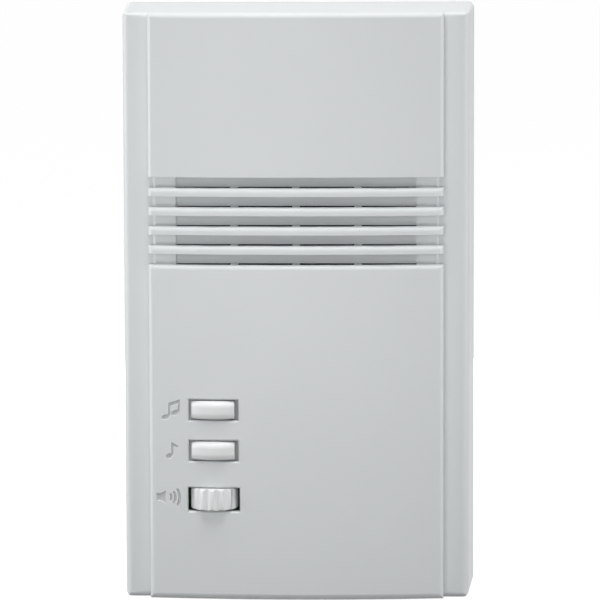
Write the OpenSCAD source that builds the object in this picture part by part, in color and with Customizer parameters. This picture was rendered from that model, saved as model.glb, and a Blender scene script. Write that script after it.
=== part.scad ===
// Wall-hung electronic door chime: a deep drafted cover with a bowed centre panel and a louvred
// sound outlet, two tune buttons and a volume thumbwheel, with the works behind them.
// Millimetres. X runs to the right, Z up, and Y from the front (negative) back to the wall at 0.

/* [Case] */
// Width of the front ledge face
body_w = 92; // [90:1:108]
// Height of the front ledge face
body_h = 157.3; // [154:0.1:176]
// Depth from the wall to the front ledge
body_d = 34.5; // [34:0.5:42]
// Spread of each outer wall from the ledge back to the wall
draft = 1.7; // [1:0.1:3]
// Wall thickness of the mouldings
wall = 2.2; // [1.8:0.1:2.6]
// Rounding of the front edges
edge_r = 2; // [1:0.1:2.4]
// Rounding of the four outer corners
corner_r = 1.8; // [1:0.1:4]

/* [Raised panel] */
// Width of the raised panel
panel_w = 78.6; // [77:0.2:82]
// Rise of the panel's side edges over the ledges
panel_raise = 3.1; // [2.6:0.1:4]
// How far the panel's middle stands in front of its side edges
panel_bow = 2.66; // [1.8:0.02:3.6]
// Rounding of the panel's upright edges
panel_edge_r = 1.4; // [0.8:0.1:1.8]
// Thickness of the panel
panel_t = 2.4; // [2:0.1:2.8]

/* [Sound outlet] */
// Height of the top rib's upper edge over the middle of the face
rib_z = 32; // [29:0.02:36]
// Distance from one rib to the next
rib_pitch = 5.12; // [4.6:0.005:5.6]
// Height of each groove
groove_h = 2.85; // [2:0.05:3]
// Number of grooves
grooves = 5; // [3:1:6]
// Height of the slits
slit_h = 0.55; // [0.4:0.05:0.8]
// How far the slits sink into the ribs below them
slit_sink = 0.6; // [0.4:0.05:0.8]
// Number of slits in each groove
slits = 4; // [2:1:6]
// Width of the webs between slits
web_w = 1.9; // [1.4:0.1:3]
// Width of the deep recess in each groove
recess_w = 64.1; // [56:0.1:68]
// Rise of the shallow groove ends over the ledge
end_rise = 0.9; // [0.3:0.1:1.2]
// Rounding of each rib's upper edge
rib_top_r = 1.4; // [0.8:0.05:1.5]
// Rounding of each rib's lower edge
rib_low_r = 0.7; // [0.4:0.05:0.75]

/* [Buttons] */
// Sideways place of the control column
control_x = -22.05; // [-24:0.05:-20]
// Height of the upper button over the middle of the face
button_z = -27.37; // [-30:0.01:-26]
// Distance between the buttons
button_pitch = 10.98; // [9.5:0.02:12]
// Width of a button window
window_w = 13.3; // [12:0.1:14.4]
// Height of a button window
window_h = 5.65; // [5:0.05:6.4]
// Gap at each end of a button
cap_gap_x = 0.9; // [0.5:0.05:1.2]
// Gap above and below a button
cap_gap_z = 0.34; // [0.3:0.02:0.5]
// Height of a button's crown over the panel
cap_rise = 1.6; // [0.8:0.1:2.4]
// Bulge of a button from its ends to its crown
cap_bulge = 1.5; // [0.6:0.1:2]
// How far a button travels
button_travel = 0.5; // [0.3:0.05:0.6]

/* [Volume wheel] */
// Distance from the lower button down to the wheel
wheel_drop = 13; // [12.4:0.02:14]
// Radius of the wheel over its ridges
wheel_r = 6.4; // [6:0.1:6.8]
// Height of the wheel
wheel_h = 5.75; // [5:0.05:6.2]
// How far the wheel stands out of the panel
wheel_rise = 2.3; // [1.6:0.1:2.8]
// Number of ridges round the wheel
ridges = 15; // [13:1:16]
// Gap over the wheel in its window
wheel_gap_top = 0.2; // [0.2:0.02:0.5]
// Gap under the wheel in its window
wheel_gap_low = 0.45; // [0.3:0.05:0.6]
// Gap between the wheel's full radius and the moulding
wheel_gap_r = 0.4; // [0.35:0.05:0.6]
// Width of the wheel window
wheel_window_w = 13.9; // [13.2:0.1:14.6]

/* [Loudspeaker] */
// Outer radius of the loudspeaker
speaker_r = 33; // [31:0.5:35]
// Height of its middle over the middle of the face
speaker_z = 18; // [17:0.5:22]

/* [Back] */
// Distance between the two hanging slots
hang_pitch = 52; // [46:1:54]
// Height of the middle between them
hang_z = 40; // [38:1:42]
// Half width of a hanging slot
slot_r = 2.2; // [1.8:0.1:2.6]
// Length of a hanging slot
slot_l = 16; // [14:0.5:18]
// Radius of a slot's entry hole
entry_r = 4.2; // [3.6:0.1:5]
// Thickness of the battery door
door_t = 1.8; // [1.5:0.1:2.2]

/* [Hidden] */
$fn = 64;

// Colours
case_grey = [0.80, 0.81, 0.82];
black = [0.06, 0.06, 0.06];
steel = [0.62, 0.63, 0.65];
brass = [0.78, 0.62, 0.30];
paper = [0.16, 0.15, 0.14];
ferrite = [0.12, 0.12, 0.13];
board_green = [0.10, 0.32, 0.16];
red = [0.65, 0.08, 0.06];
tan = [0.62, 0.45, 0.25];
cell_wrap = [0.20, 0.28, 0.36];

// Small common amounts
over = 1;
far = 400;
root = 0.6;
crease = 0.02;
fit_gap = 0.2;
run_gap = 0.35;
pin_gap = 0.05;

// Planes of the case
ledge_y = -body_d;
inner_ledge = ledge_y + wall;
rim_y = -0.5;
slope = draft / body_d;
lean = sqrt(1 + slope * slope);
bow_r = (panel_w * panel_w / 4 + panel_bow * panel_bow) / (2 * panel_bow);
crown_y = ledge_y - panel_raise - panel_bow;
bow_y = crown_y + bow_r;
panel_top = body_h / 2;
pocket_side = 3;
pocket_w = panel_w - 2 * pocket_side;
pocket_in = 5;
pocket_end = body_h / 2 - pocket_in;
turn_back = 80;
tilt = asin(control_x / bow_r);

// Sound outlet
outlet_bottom = rib_z - (grooves - 1) * rib_pitch;
outlet_top = rib_z + groove_h;
outlet_band = 2.2;
slat_t = 1.3;
recess_y = inner_ledge - slat_t;
end_floor_y = ledge_y - end_rise;
end_lip = 1.2;
end_r = 0.8;
end_floor_w = panel_w - 2 * end_lip;
slit_w = (recess_w - (slits - 1) * web_w) / slits;
end_fillet_r = 1;
trough_lap = 0.1;
trough_wall = rib_top_r + trough_lap;
lip = 0.45;

// Buttons and their switches
cap_w = window_w - 2 * cap_gap_x;
cap_h = window_h - 2 * cap_gap_z;
cap_r = (cap_w * cap_w / 4 + cap_bulge * cap_bulge) / (2 * cap_bulge);
cap_edge_r = 1.8;
cap_shift = -0.15;
cap_corner_r = 0.4;
cap_ring = 9;
flange_side = 0.7;
flange_lap = 0.6;
flange_w = window_w + 2 * flange_side;
flange_h = window_h + 2 * flange_lap;
flange_t = 1.2;
flange_y = inner_y(abs(control_x) + flange_w / 2) + run_gap;
stem_w = 4;
stem_h = 3;
switch_w = 6;
switch_t = 3.5;
plunger_r = 1.7;
plunger_gap = 0.08;
plunger_out = 2.2;
plunger_in = 0.6;
plunger_well = plunger_in + button_travel + fit_gap;
lower_z = button_z - button_pitch;

// Volume wheel
wheel_z = lower_z - wheel_drop;
wheel_y = face_y(control_x) - wheel_rise + wheel_r;
wheel_low = wheel_z - wheel_h / 2;
wheel_window_h = wheel_h + wheel_gap_top + wheel_gap_low;
window_low = wheel_low - wheel_gap_low;
window_z = window_low + wheel_window_h / 2;
wheel_end_r = 0.8;
ridge_r = 1;
ridge_depth = 0.65;
ridge_first = -94.2;
axle_r = 1.1;
ear_w = 6;
ear_h = 2.4;
ear_depth = 2.3;
ear_gap = 0.4;
upper_ear = window_low + wheel_window_h + ear_gap;
wiper_drop = 1.8;
wiper_t = 0.4;
wiper_r = 2.2;
wiper_reach = 5.6;
wiper_w = 2;
wiper_tip = 0.9;
wiper_tip_r = 0.7;
track_t = 1;
track_r = 6.4;
track_nose = 0.4;
track_top = wheel_low - wiper_drop;
lower_ear = track_top - track_t - ear_h;

// Main board
board_t = 1.6;
board_clear = 1.3;
board_front = wheel_y + wheel_r + board_clear;
board_back = board_front + board_t;
board_w = 76;
board_over = 9.1;
board_under = 15;
board_top = button_z + board_over;
board_low = wheel_z - board_under;
board_in = 4;
post_r = 3;
pilot_r = 1.05;
board_hole_r = 1.5;
board_screw_r = 1;
board_head_r = 2.6;
board_head_t = 1.6;
board_shank = 6;
switch_y = board_front - switch_t;
plunger_y = switch_y - plunger_out;

// Cover screws
boss_in_x = 5.4;
boss_in_z = 5.75;
boss_x = body_w / 2 - boss_in_x;
boss_z = body_h / 2 - boss_in_z;
boss_r = 3.2;
sleeve_r = 4.2;
sleeve_l = 8;
sink_r = 3.2;
sink_l = 5;
screw_hole_r = 1.7;
screw_r = 1.4;
screw_pilot_r = 1.45;
screw_l = 17;
head_r = 2.9;
head_t = 2.2;
cross_w = 0.8;
cross_l = 3.4;
cross_d = 1;

// Loudspeaker, from the cloth back to the yoke
cloth_t = 0.5;
gasket_t = 1;
sheet = 0.8;
flange_front = inner_ledge + cloth_t + gasket_t;
flange_back = flange_front + sheet;
basket_d = 13.6;
basket_rim = 4.9;
basket_back = flange_front + basket_d;
rim_r = speaker_r - basket_rim;
neck_r = 17.4;
seat_r = 9;
plate_r = 16;
gasket_w = 3.4;
gap_r = 7.7;
plate_h = 2.5;
magnet_h = 6;
yoke_h = 2.5;
yoke_r = 15;
pole_r = 6.3;
magnet_y = basket_back + plate_h;
yoke_y = magnet_y + magnet_h;
former_r = 6.75;
former_t = 0.3;
winding_t = 0.3;
winding_l = 3.2;
coil_out = 4.8;
coil_over = 0.5;
coil_front = basket_back - coil_out;
coil_back = magnet_y + coil_over;
cone_in = 9.8;
cone_r = speaker_r - cone_in;
cone_t = 0.5;
cone_sink = 1.2;
cone_front = flange_front + cone_sink;
cap_dome_r = 12;
dome_t = 0.4;
dome_rim = 7.9;
dome_rise = 3.4;
dome_d = 3;
dome_apex = coil_front - dome_rise;
roll_r = 1.6;
roll_t = 0.35;
roll_in = 7.8;
roll_at = speaker_r - roll_in;
lip_t = 0.3;
spider_in = 7.95;
spider_out = 17;
spider_foot = 1;
spider_t = 0.4;
spider_wave = 1;
spider_waves = 4;
basket_windows = 4;
basket_window_w = 17;
basket_window_in = 1.6;
spk_boss_out = 2.8;
spk_boss_r = 2.6;
spk_head_r = 4;
spk_head_t = 1.6;
spk_shank = 5;
tag_w = 12;
tag_t = 1.2;
tag_h = 3.2;
tag_in = 0.4;
tag_z = speaker_z - speaker_r + tag_in;
tag_pitch = 3.8;
tag_pin_r = 0.7;
tag_pin_l = 4.5;

// Battery tray and door
plate_t = 2.2;
tray_wall = 1.6;
cell_r = 7.1;
cell_l = 50.5;
cell_nub = 1.2;
cell_nub_r = 2.7;
cells = 3;
cell_pitch = 15.5;
cell_y = -9.6;
contact_t = 0.4;
spring_l = 5.7;
bay_gap = 0.25;
bay_w = cell_l + spring_l + 2 * contact_t;
bay_h = cells * cell_pitch + 2 * bay_gap;
bay_top = -19;
bay_low = bay_top - bay_h;
bay_y = -17.6;
first_cell = bay_top - bay_gap - cell_pitch / 2;
frame_t = 4.2;
frame_side = 6.5;
frame_w = bay_w + 2 * frame_side;
door_lap = 2.5;
door_w = bay_w + 2 * door_lap;
door_gap = 0.4;
door_face = -0.2;
door_back = door_face - door_t;
knuckle_r = 1.6;
knuckle_y = door_face - knuckle_r;
knuckle_over = 5;
knuckle_z = bay_top + knuckle_over;
knuckle_gap = 0.4;
stub_r = 1;
stub_l = 2.6;
door_under = 3.6;
door_low = bay_low - door_under;
frame_under = 6.4;
frame_over = 3.6;
frame_low = bay_low - frame_under;
frame_top = knuckle_z + frame_over;
latch_w = 10;
latch_t = 1.2;
latch_l = 1.8;
latch_under = 2.6;
latch_z = bay_low - latch_under;
thumb_r = 6;
thumb_t = 1.5;
grip_w = 24;
grip_h = 1.2;
grip_d = 0.4;
grip_pitch = 3;
grips = 4;
contact_w = 10;
tab_r = 0.8;
tab_l = 2.5;
plate_corner = 2;

// Spring wire
wire_r = 0.35;
spring_big = 4.6;
spring_small = 2.8;
spring_turns = 3.5;
ring_count = 8;
ring_sides = 6;

// Wires and parts on the board
lead_r = 0.6;
antenna_r = 0.5;
wire_steps = 5;
wire_sides = 8;
wire_ref = [0.3, 0.25, -0.92];
wire_end = 0.05;
lead_out = 2.2;
lead_lift = 3.4;
lead_rise = 2;
lead_in = 6;
lead_bow = 4.4;
battery_lead_out = 2.6;
battery_lead_drop = 3;
antenna_gap = 1.6;
antenna_side = 5.5;
antenna_top = 10;
chip_x = -8;
chip_up = 24;
chip_w = 20;
chip_h = 6.4;
chip_t = 3.4;
chip_lift = 0.5;
chip_legs = 8;
leg_pitch = 2.3;
leg_w = 0.6;
leg_out = 0.7;
leg_up = 1.8;
notch_r = 0.9;
can_r = 2.4;
can_h = 5.4;
can_rim = 0.25;
can_places = [[-30, 14], [-24, 14], [22, 16]];
rf_x = 8;
rf_drop = 17;
rf_w = 22;
rf_h = 12;
rf_t = 1;
rf_lift = 2;
rf_header = 2.5;
rf_pad = 2;
shield_w = 11;
shield_h = 8;
shield_t = 2.2;
coil_r = 2.2;
coil_h = 2.6;
antenna_x = rf_x + rf_w + antenna_gap;
crystal_x = 10;
crystal_up = 12;
crystal_w = 11;
crystal_d = 4.6;
crystal_t = 3.6;

// Half width and half height of the drafted outside at a depth
function side_x(y) = body_w / 2 + slope * (y - ledge_y);
function side_z(y) = body_h / 2 + slope * (y - ledge_y);
// Front and inner face of the bowed panel at a sideways place
function face_y(x) = bow_y - sqrt(bow_r * bow_r - x * x);
function inner_y(x) = bow_y - sqrt(pow(bow_r - panel_t, 2) - x * x);
// Middle of a battery
function cell_z(i) = first_cell - i * cell_pitch;

// Four mirrored copies about the middle of the face
module four_corners() {
    children();
    mirror([1, 0, 0]) children();
    mirror([0, 0, 1]) children();
    mirror([1, 0, 0]) mirror([0, 0, 1]) children();
}

// Round bar along Y
module bar_y(x, z, y0, y1, r) {
    translate([x, y0, z]) rotate([-90, 0, 0]) cylinder(h = y1 - y0, r = r);
}

// Round bar along X
module bar_x(x0, x1, y, z, r) {
    translate([x0, y, z]) rotate([0, 90, 0]) cylinder(h = x1 - x0, r = r);
}

// Turned part about the loudspeaker's axis: profile as radius and depth
module speaker_turn() {
    translate([0, 0, speaker_z]) rotate([-90, 0, 0]) rotate_extrude() children();
}

// Ring profile
module ring(r0, r1, y0, y1) {
    translate([r0, y0]) square([r1 - r0, y1 - y0]);
}

// Rectangle with round corners, centred
module soft_rect(w, h, r) {
    union() {
        square([w - 2 * r, h], center = true);
        square([w, h - 2 * r], center = true);
        for (sx = [-1, 1])
            for (sy = [-1, 1])
                translate([sx * (w / 2 - r), sy * (h / 2 - r)]) circle(r);
    }
}

// Flat plate in the upright plane, from y0 to y1
module upright(y0, y1) {
    translate([0, y1, 0]) rotate([90, 0, 0]) linear_extrude(height = y1 - y0) children();
}

// Tube of radius r round a middle line: rings square to the line, in a frame set by one direction
function unit(v) = v / norm(v);
function along(p, i) = unit(p[min(i + 1, len(p) - 1)] - p[max(i - 1, 0)]);
function across(p, i, ref) = unit(cross(along(p, i), ref));
module tube(p, r, sides, ref) {
    last = len(p) - 1;
    points = [for (i = [0 : last]) let(a = across(p, i, ref), b = cross(a, along(p, i)))
        for (k = [0 : sides - 1]) p[i] + r * (cos(360 * k / sides) * a + sin(360 * k / sides) * b)];
    walls = [for (i = [0 : last - 1]) for (k = [0 : sides - 1]) for (half = [0, 1])
        let(n = (k + 1) % sides, a = i * sides, b = a + sides)
        half == 0 ? [a + k, a + n, b + n] : [a + k, b + n, b + k]];
    head = [for (k = [sides - 1 : -1 : 0]) k];
    tail = [for (k = [0 : sides - 1]) last * sides + k];
    polyhedron(points, concat(walls, [head, tail]));
}

// Smooth middle line through points, straight at its first and last stretch
function spline_at(p, i, t) =
    let(a = p[max(i - 1, 0)], b = p[i], c = p[i + 1], d = p[min(i + 2, len(p) - 1)])
    (2 * b + (c - a) * t + (2 * a - 5 * b + 4 * c - d) * t * t + (3 * b - a - 3 * c + d) * t * t * t) / 2;
function spline(p) = concat([p[0]], [for (i = [1 : len(p) - 3]) for (k = [0 : wire_steps - 1])
    spline_at(p, i, k / wire_steps)], [p[len(p) - 2], p[len(p) - 1]]);

// Wire through points
module wire(points, r) {
    tube(spline(points), r, wire_sides, wire_ref);
}

// Pan-head screw with its seat at y, pointing to the front
module screw(x, y, z, shank_r, shank_l, hat_r, hat_t) {
    difference() {
        union() {
            bar_y(x, z, y - shank_l, y, shank_r);
            bar_y(x, z, y, y + hat_t, hat_r);
        }
        translate([x, y + hat_t - cross_d / 2, z])
            cube([cross_l, cross_d + crease, cross_w], center = true);
        translate([x, y + hat_t - cross_d / 2, z])
            cube([cross_w, cross_d + crease, cross_l], center = true);
    }
}

// Outline of the drafted case with round front edges, across one of its two spans
module drafted_outline(half) {
    cx = half + slope * edge_r - edge_r * lean;
    cy = ledge_y + edge_r;
    tx = cx + edge_r / lean;
    ty = cy - slope * edge_r / lean;
    back = half + slope * (rim_y - ledge_y);
    union() {
        polygon([[-cx, ledge_y], [cx, ledge_y], [tx, ty], [back, rim_y], [-back, rim_y], [-tx, ty]]);
        translate([cx, cy]) circle(edge_r);
        translate([-cx, cy]) circle(edge_r);
    }
}

// Outline of the hollow across one span
module hollow_outline(half) {
    front = half + slope * wall - wall;
    back = half + slope * (over - ledge_y) - wall;
    polygon([[-front, inner_ledge], [front, inner_ledge], [back, over], [-back, over]]);
}

// Rounds one slanted outer corner
module corner_cut() {
    inset = corner_r * lean;
    span = 3 * corner_r;
    translate([body_w / 2 - inset, ledge_y, body_h / 2 - inset])
        rotate([0, 0, -atan(slope)]) rotate([atan(slope / lean), 0, 0]) rotate([-90, 0, 0])
            difference() {
                translate([0, -span, -body_d]) cube([span, span, 3 * body_d]);
                translate([0, 0, -body_d - over])
                    cylinder(h = 3 * body_d + 2 * over, r = corner_r + crease);
            }
}

// Drafted box up to the ledge
module ledge_body() {
    difference() {
        intersection() {
            linear_extrude(height = far, center = true) drafted_outline(body_w / 2);
            rotate([0, -90, 0]) linear_extrude(height = far, center = true) drafted_outline(body_h / 2);
        }
        four_corners() corner_cut();
    }
}

// Outline of the bowed panel, seen from above
module panel_outline() {
    cx = panel_w / 2 - panel_edge_r;
    cy = bow_y - sqrt(pow(bow_r - panel_edge_r, 2) - cx * cx);
    tx = cx * bow_r / (bow_r - panel_edge_r);
    back = ledge_y + over;
    union() {
        intersection() {
            translate([0, bow_y]) circle(bow_r);
            translate([-tx, crown_y - over]) square([2 * tx, back - crown_y + over]);
        }
        translate([-panel_w / 2, cy]) square([panel_w, back - cy]);
        translate([cx, cy]) circle(panel_edge_r);
        translate([-cx, cy]) circle(panel_edge_r);
    }
}

// Turned section that rounds the panel's top and bottom edges along the bow
module panel_section() {
    cr = bow_r + crease - edge_r;
    in_r = bow_r - turn_back;
    union() {
        translate([in_r, -panel_top]) square([cr - in_r, 2 * panel_top]);
        translate([cr, edge_r - panel_top]) square([edge_r, 2 * (panel_top - edge_r)]);
        translate([cr, panel_top - edge_r]) circle(edge_r);
        translate([cr, edge_r - panel_top]) circle(edge_r);
    }
}

module panel_body() {
    intersection() {
        linear_extrude(height = 2 * panel_top + 2 * over, center = true) panel_outline();
        translate([0, bow_y, 0]) rotate_extrude() panel_section();
    }
}

module case_hollow() {
    intersection() {
        linear_extrude(height = far, center = true) hollow_outline(body_w / 2);
        rotate([0, -90, 0]) linear_extrude(height = far, center = true) hollow_outline(body_h / 2);
    }
}

// Hollow behind the raised panel, between two heights
module panel_pocket(z0, z1) {
    intersection() {
        translate([0, bow_y, z0]) cylinder(h = z1 - z0, r = bow_r - panel_t);
        translate([-pocket_w / 2, crown_y, z0 - over])
            cube([pocket_w, inner_ledge - crown_y + root, z1 - z0 + 2 * over]);
    }
}

// Ring along the bow that rounds an edge at height z, below it (-1) or above it (1)
module edge_ring(z, side, r) {
    translate([0, bow_y, z]) rotate_extrude()
        difference() {
            translate([bow_r - r, min(side, 0) * r - crease]) square([r + over, r + 2 * crease]);
            translate([bow_r - r, side * r]) circle(r);
        }
}

// Outline of a groove's two shallow floors, seen from above
module end_floors() {
    difference() {
        translate([-panel_w, crown_y - over]) square([2 * panel_w, ledge_y - crown_y + over]);
        translate([0, end_floor_y + wall]) soft_rect(end_floor_w, 2 * wall, end_r);
    }
}

// Hollow fillet that leads from a groove's shallow floors to the top of the rib below
module end_fillet(z) {
    w = end_floor_w - 2 * end_r;
    difference() {
        translate([-w / 2, end_floor_y - end_fillet_r, z - crease])
            cube([w, end_fillet_r + crease, end_fillet_r + crease]);
        bar_x(-panel_w, panel_w, end_floor_y - end_fillet_r, z + end_fillet_r, end_fillet_r);
    }
}

// Places of the slits along a groove
module slit_places() {
    for (i = [0 : slits - 1]) translate([i * (slit_w + web_w) - recess_w / 2, 0, 0]) children();
}

// Slits through the recess floor, and the troughs in the rib's top that lead to them along the bow
module slit_row(z) {
    slit_places() translate([0, recess_y - crease, z - slit_sink]) cube([slit_w, slat_t + over, slit_h]);
    intersection() {
        translate([0, bow_y, z - slit_sink]) cylinder(h = slit_sink + crease, r = bow_r - trough_wall);
        slit_places() translate([0, crown_y, z - over]) cube([slit_w, recess_y - crown_y, 2 * over]);
    }
}

// One louvre groove above a rib: shallow ends, deep middle, slits behind the rib's upper edge
module groove(z) {
    difference() {
        translate([0, 0, z]) linear_extrude(height = groove_h) end_floors();
        end_fillet(z);
    }
    edge_ring(z, -1, rib_top_r);
    edge_ring(z + groove_h, 1, rib_low_r);
    translate([-recess_w / 2, crown_y, z]) cube([recess_w, recess_y - crown_y, groove_h]);
    slit_row(z);
}

// Window through the panel, with a soft lip that follows the bow
module window(z, w, h) {
    side = lip * sqrt(2);
    translate([control_x - w / 2, crown_y - over, z - h / 2])
        cube([w, inner_ledge - crown_y, h]);
    translate([control_x, face_y(control_x), z]) rotate([0, 0, tilt]) {
        for (s = [-1, 1]) {
            translate([0, 0, s * h / 2]) rotate([45, 0, 0]) cube([w + lip, side, side], center = true);
            translate([s * w / 2, 0, 0]) rotate([0, 0, 45]) cube([side, side, h + lip], center = true);
        }
    }
}

// Corner places of the board's screws
module board_corners() {
    for (s = [-1, 1])
        for (z = [board_top - board_in, board_low + board_in])
            translate([s * (board_w / 2 - board_in), 0, z]) children();
}

// Places of the loudspeaker's screws
module speaker_corners() {
    at = (speaker_r + spk_boss_out) / sqrt(2);
    for (s = [-1, 1])
        for (t = [-1, 1])
            translate([s * at, 0, speaker_z + t * at]) children();
}

// Posts, bosses and wheel ears inside the cover
module cover_posts() {
    spk_x = (speaker_r + spk_boss_out) / sqrt(2);
    four_corners() bar_y(boss_x, boss_z, inner_ledge - root, -sleeve_l, boss_r);
    board_corners() bar_y(0, 0, inner_y(board_w / 2 - board_in) - root, board_front, post_r);
    speaker_corners() bar_y(0, 0, inner_y(spk_x) - root, flange_back, spk_boss_r);
    for (z = [upper_ear, lower_ear])
        translate([control_x - ear_w / 2, inner_y(control_x) - root, z])
            cube([ear_w, wheel_y + ear_depth - inner_y(control_x) + root, ear_h]);
}

// Screw pilot holes and the bore of the wheel's pin
module cover_bores() {
    spk_x = (speaker_r + spk_boss_out) / sqrt(2);
    four_corners() bar_y(boss_x, boss_z, -sink_l - screw_l - root, over, screw_pilot_r);
    board_corners() bar_y(0, 0, board_front - board_shank, over, pilot_r);
    speaker_corners() bar_y(0, 0, flange_back - spk_shank - root, over, pilot_r);
    translate([control_x, wheel_y, lower_ear - over])
        cylinder(h = upper_ear + ear_h - lower_ear + 2 * over, r = axle_r + crease);
}

module front_cover() {
    color(case_grey)
        difference() {
            union() {
                difference() {
                    union() {
                        ledge_body();
                        panel_body();
                    }
                    case_hollow();
                    panel_pocket(outlet_top + outlet_band, pocket_end);
                    panel_pocket(-pocket_end, outlet_bottom - outlet_band);
                }
                cover_posts();
            }
            for (i = [0 : grooves - 1]) groove(rib_z - i * rib_pitch);
            window(button_z, window_w, window_h);
            window(lower_z, window_w, window_h);
            window(window_z, wheel_window_w, wheel_window_h);
            translate([control_x, wheel_y, window_low])
                cylinder(h = wheel_window_h, r = wheel_r + wheel_gap_r);
            translate([control_x, wheel_y, wheel_low - wiper_t - run_gap])
                cylinder(h = wiper_t + 2 * run_gap, r = wiper_r + run_gap);
            cover_bores();
        }
}

// Double-ended hanging slot with a round entry in its middle
module hang_slot(z) {
    translate([0, 0, z]) upright(-plate_t - over, over)
        union() {
            square([2 * slot_r, slot_l - 2 * slot_r], center = true);
            translate([0, slot_l / 2 - slot_r]) circle(slot_r);
            translate([0, slot_r - slot_l / 2]) circle(slot_r);
            circle(entry_r);
        }
}

// Room for the door, its round edge, its stubs, its latch and a thumb
module door_room() {
    wide = door_w + 2 * door_gap;
    low = door_low - door_gap;
    translate([-wide / 2, door_back - pin_gap, low]) cube([wide, over - door_back, knuckle_z - low]);
    translate([-wide / 2, knuckle_y, knuckle_z - knuckle_r - knuckle_gap])
        cube([wide, over - knuckle_y, 2 * (knuckle_r + knuckle_gap)]);
    bar_x(-wide / 2, wide / 2, knuckle_y, knuckle_z, knuckle_r + knuckle_gap);
    stub_end = door_w / 2 + stub_l + door_gap;
    bar_x(-stub_end, stub_end, knuckle_y, knuckle_z, stub_r + pin_gap);
    translate([-latch_w / 2 - door_gap, -frame_t - over, latch_z - door_gap])
        cube([latch_w + 2 * door_gap, frame_t, latch_t + 2 * door_gap]);
    bar_y(0, low, -thumb_t, over, thumb_r);
}

module rear_housing() {
    plate_w = 2 * (side_x(-plate_t) - wall - fit_gap);
    plate_h2 = 2 * (side_z(-plate_t) - wall - fit_gap);
    tray_w = bay_w + 2 * tray_wall;
    color(case_grey)
        difference() {
            union() {
                upright(-plate_t, 0) soft_rect(plate_w, plate_h2, plate_corner);
                translate([-frame_w / 2, -frame_t, frame_low])
                    cube([frame_w, frame_t, frame_top - frame_low]);
                translate([-tray_w / 2, bay_y - tray_wall, bay_low - tray_wall])
                    cube([tray_w, -bay_y + tray_wall, bay_h + 2 * tray_wall]);
                four_corners() bar_y(boss_x, boss_z, -sleeve_l, 0, sleeve_r);
            }
            translate([-bay_w / 2, bay_y, bay_low]) cube([bay_w, over - bay_y, bay_h]);
            door_room();
            hang_slot(hang_z + hang_pitch / 2);
            hang_slot(hang_z - hang_pitch / 2);
            four_corners() bar_y(boss_x, boss_z, -sink_l, over, sink_r);
            four_corners() bar_y(boss_x, boss_z, -sleeve_l - over, over, screw_hole_r);
            bar_x(bay_w / 2 - over, tray_w / 2 + over, cell_y, cell_z(0), tab_r + pin_gap);
            bar_x(-tray_w / 2 - over, over - bay_w / 2, cell_y, cell_z(cells - 1), tab_r + pin_gap);
        }
}

module battery_door() {
    color(case_grey)
        difference() {
            union() {
                translate([-door_w / 2, door_back, door_low]) cube([door_w, door_t, knuckle_z - door_low]);
                bar_x(-door_w / 2, door_w / 2, knuckle_y, knuckle_z, knuckle_r);
                bar_x(-door_w / 2 - stub_l, door_w / 2 + stub_l, knuckle_y, knuckle_z, stub_r);
                translate([-latch_w / 2, door_back - latch_l, latch_z])
                    cube([latch_w, latch_l + root, latch_t]);
            }
            for (i = [1 : grips])
                translate([-grip_w / 2, door_face - grip_d, door_low + i * grip_pitch])
                    cube([grip_w, grip_d + over, grip_h]);
        }
}

module cover_screws() {
    color(steel) four_corners() screw(boss_x, -sink_l, boss_z, screw_r, screw_l, head_r, head_t);
}

// Turned front of a button: rounded along its upper and lower edges
module cap_section() {
    cr = cap_r - cap_edge_r;
    half = cap_h / 2 + crease;
    union() {
        translate([cap_r - cap_ring, -half]) square([cap_ring - cap_edge_r, 2 * half]);
        translate([cr, cap_edge_r - half]) square([cap_edge_r, 2 * (half - cap_edge_r)]);
        translate([cr, half - cap_edge_r]) circle(cap_edge_r);
        translate([cr, cap_edge_r - half]) circle(cap_edge_r);
    }
}

module tune_button(z) {
    in = cap_r - cap_rise;
    top = face_y(control_x) - cap_rise - over;
    cap_x = control_x + cap_shift;
    color(case_grey)
        union() {
            intersection() {
                translate([cap_x - sin(tilt) * in, face_y(control_x) + cos(tilt) * in, z])
                    rotate_extrude() cap_section();
                translate([cap_x, 0, z])
                    upright(top, flange_y + root) soft_rect(cap_w, cap_h, cap_corner_r);
            }
            translate([control_x - flange_w / 2, flange_y, z - flange_h / 2])
                cube([flange_w, flange_t, flange_h]);
            translate([control_x - stem_w / 2, flange_y + flange_t - root, z - stem_h / 2])
                cube([stem_w, plunger_y - flange_y - flange_t + root, stem_h]);
        }
}

module tune_button_upper() {
    tune_button(button_z);
}

module tune_button_lower() {
    tune_button(lower_z);
}

module switch_plunger(z) {
    color(black) bar_y(control_x, z, plunger_y, switch_y + plunger_in, plunger_r);
}

module switch_plunger_upper() {
    switch_plunger(button_z);
}

module switch_plunger_lower() {
    switch_plunger(lower_z);
}

module switch_bodies() {
    color(black)
        for (z = [button_z, lower_z])
            difference() {
                translate([control_x - switch_w / 2, switch_y, z - switch_w / 2])
                    cube([switch_w, switch_t, switch_w]);
                bar_y(control_x, z, switch_y - over, switch_y + plunger_well, plunger_r + plunger_gap);
            }
}

// Turned section that rounds the wheel's two ends
module wheel_section() {
    cr = wheel_r + crease - wheel_end_r;
    union() {
        square([cr, wheel_h]);
        translate([cr, wheel_end_r]) square([wheel_end_r, wheel_h - 2 * wheel_end_r]);
        translate([cr, wheel_end_r]) circle(wheel_end_r);
        translate([cr, wheel_h - wheel_end_r]) circle(wheel_end_r);
    }
}

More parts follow.
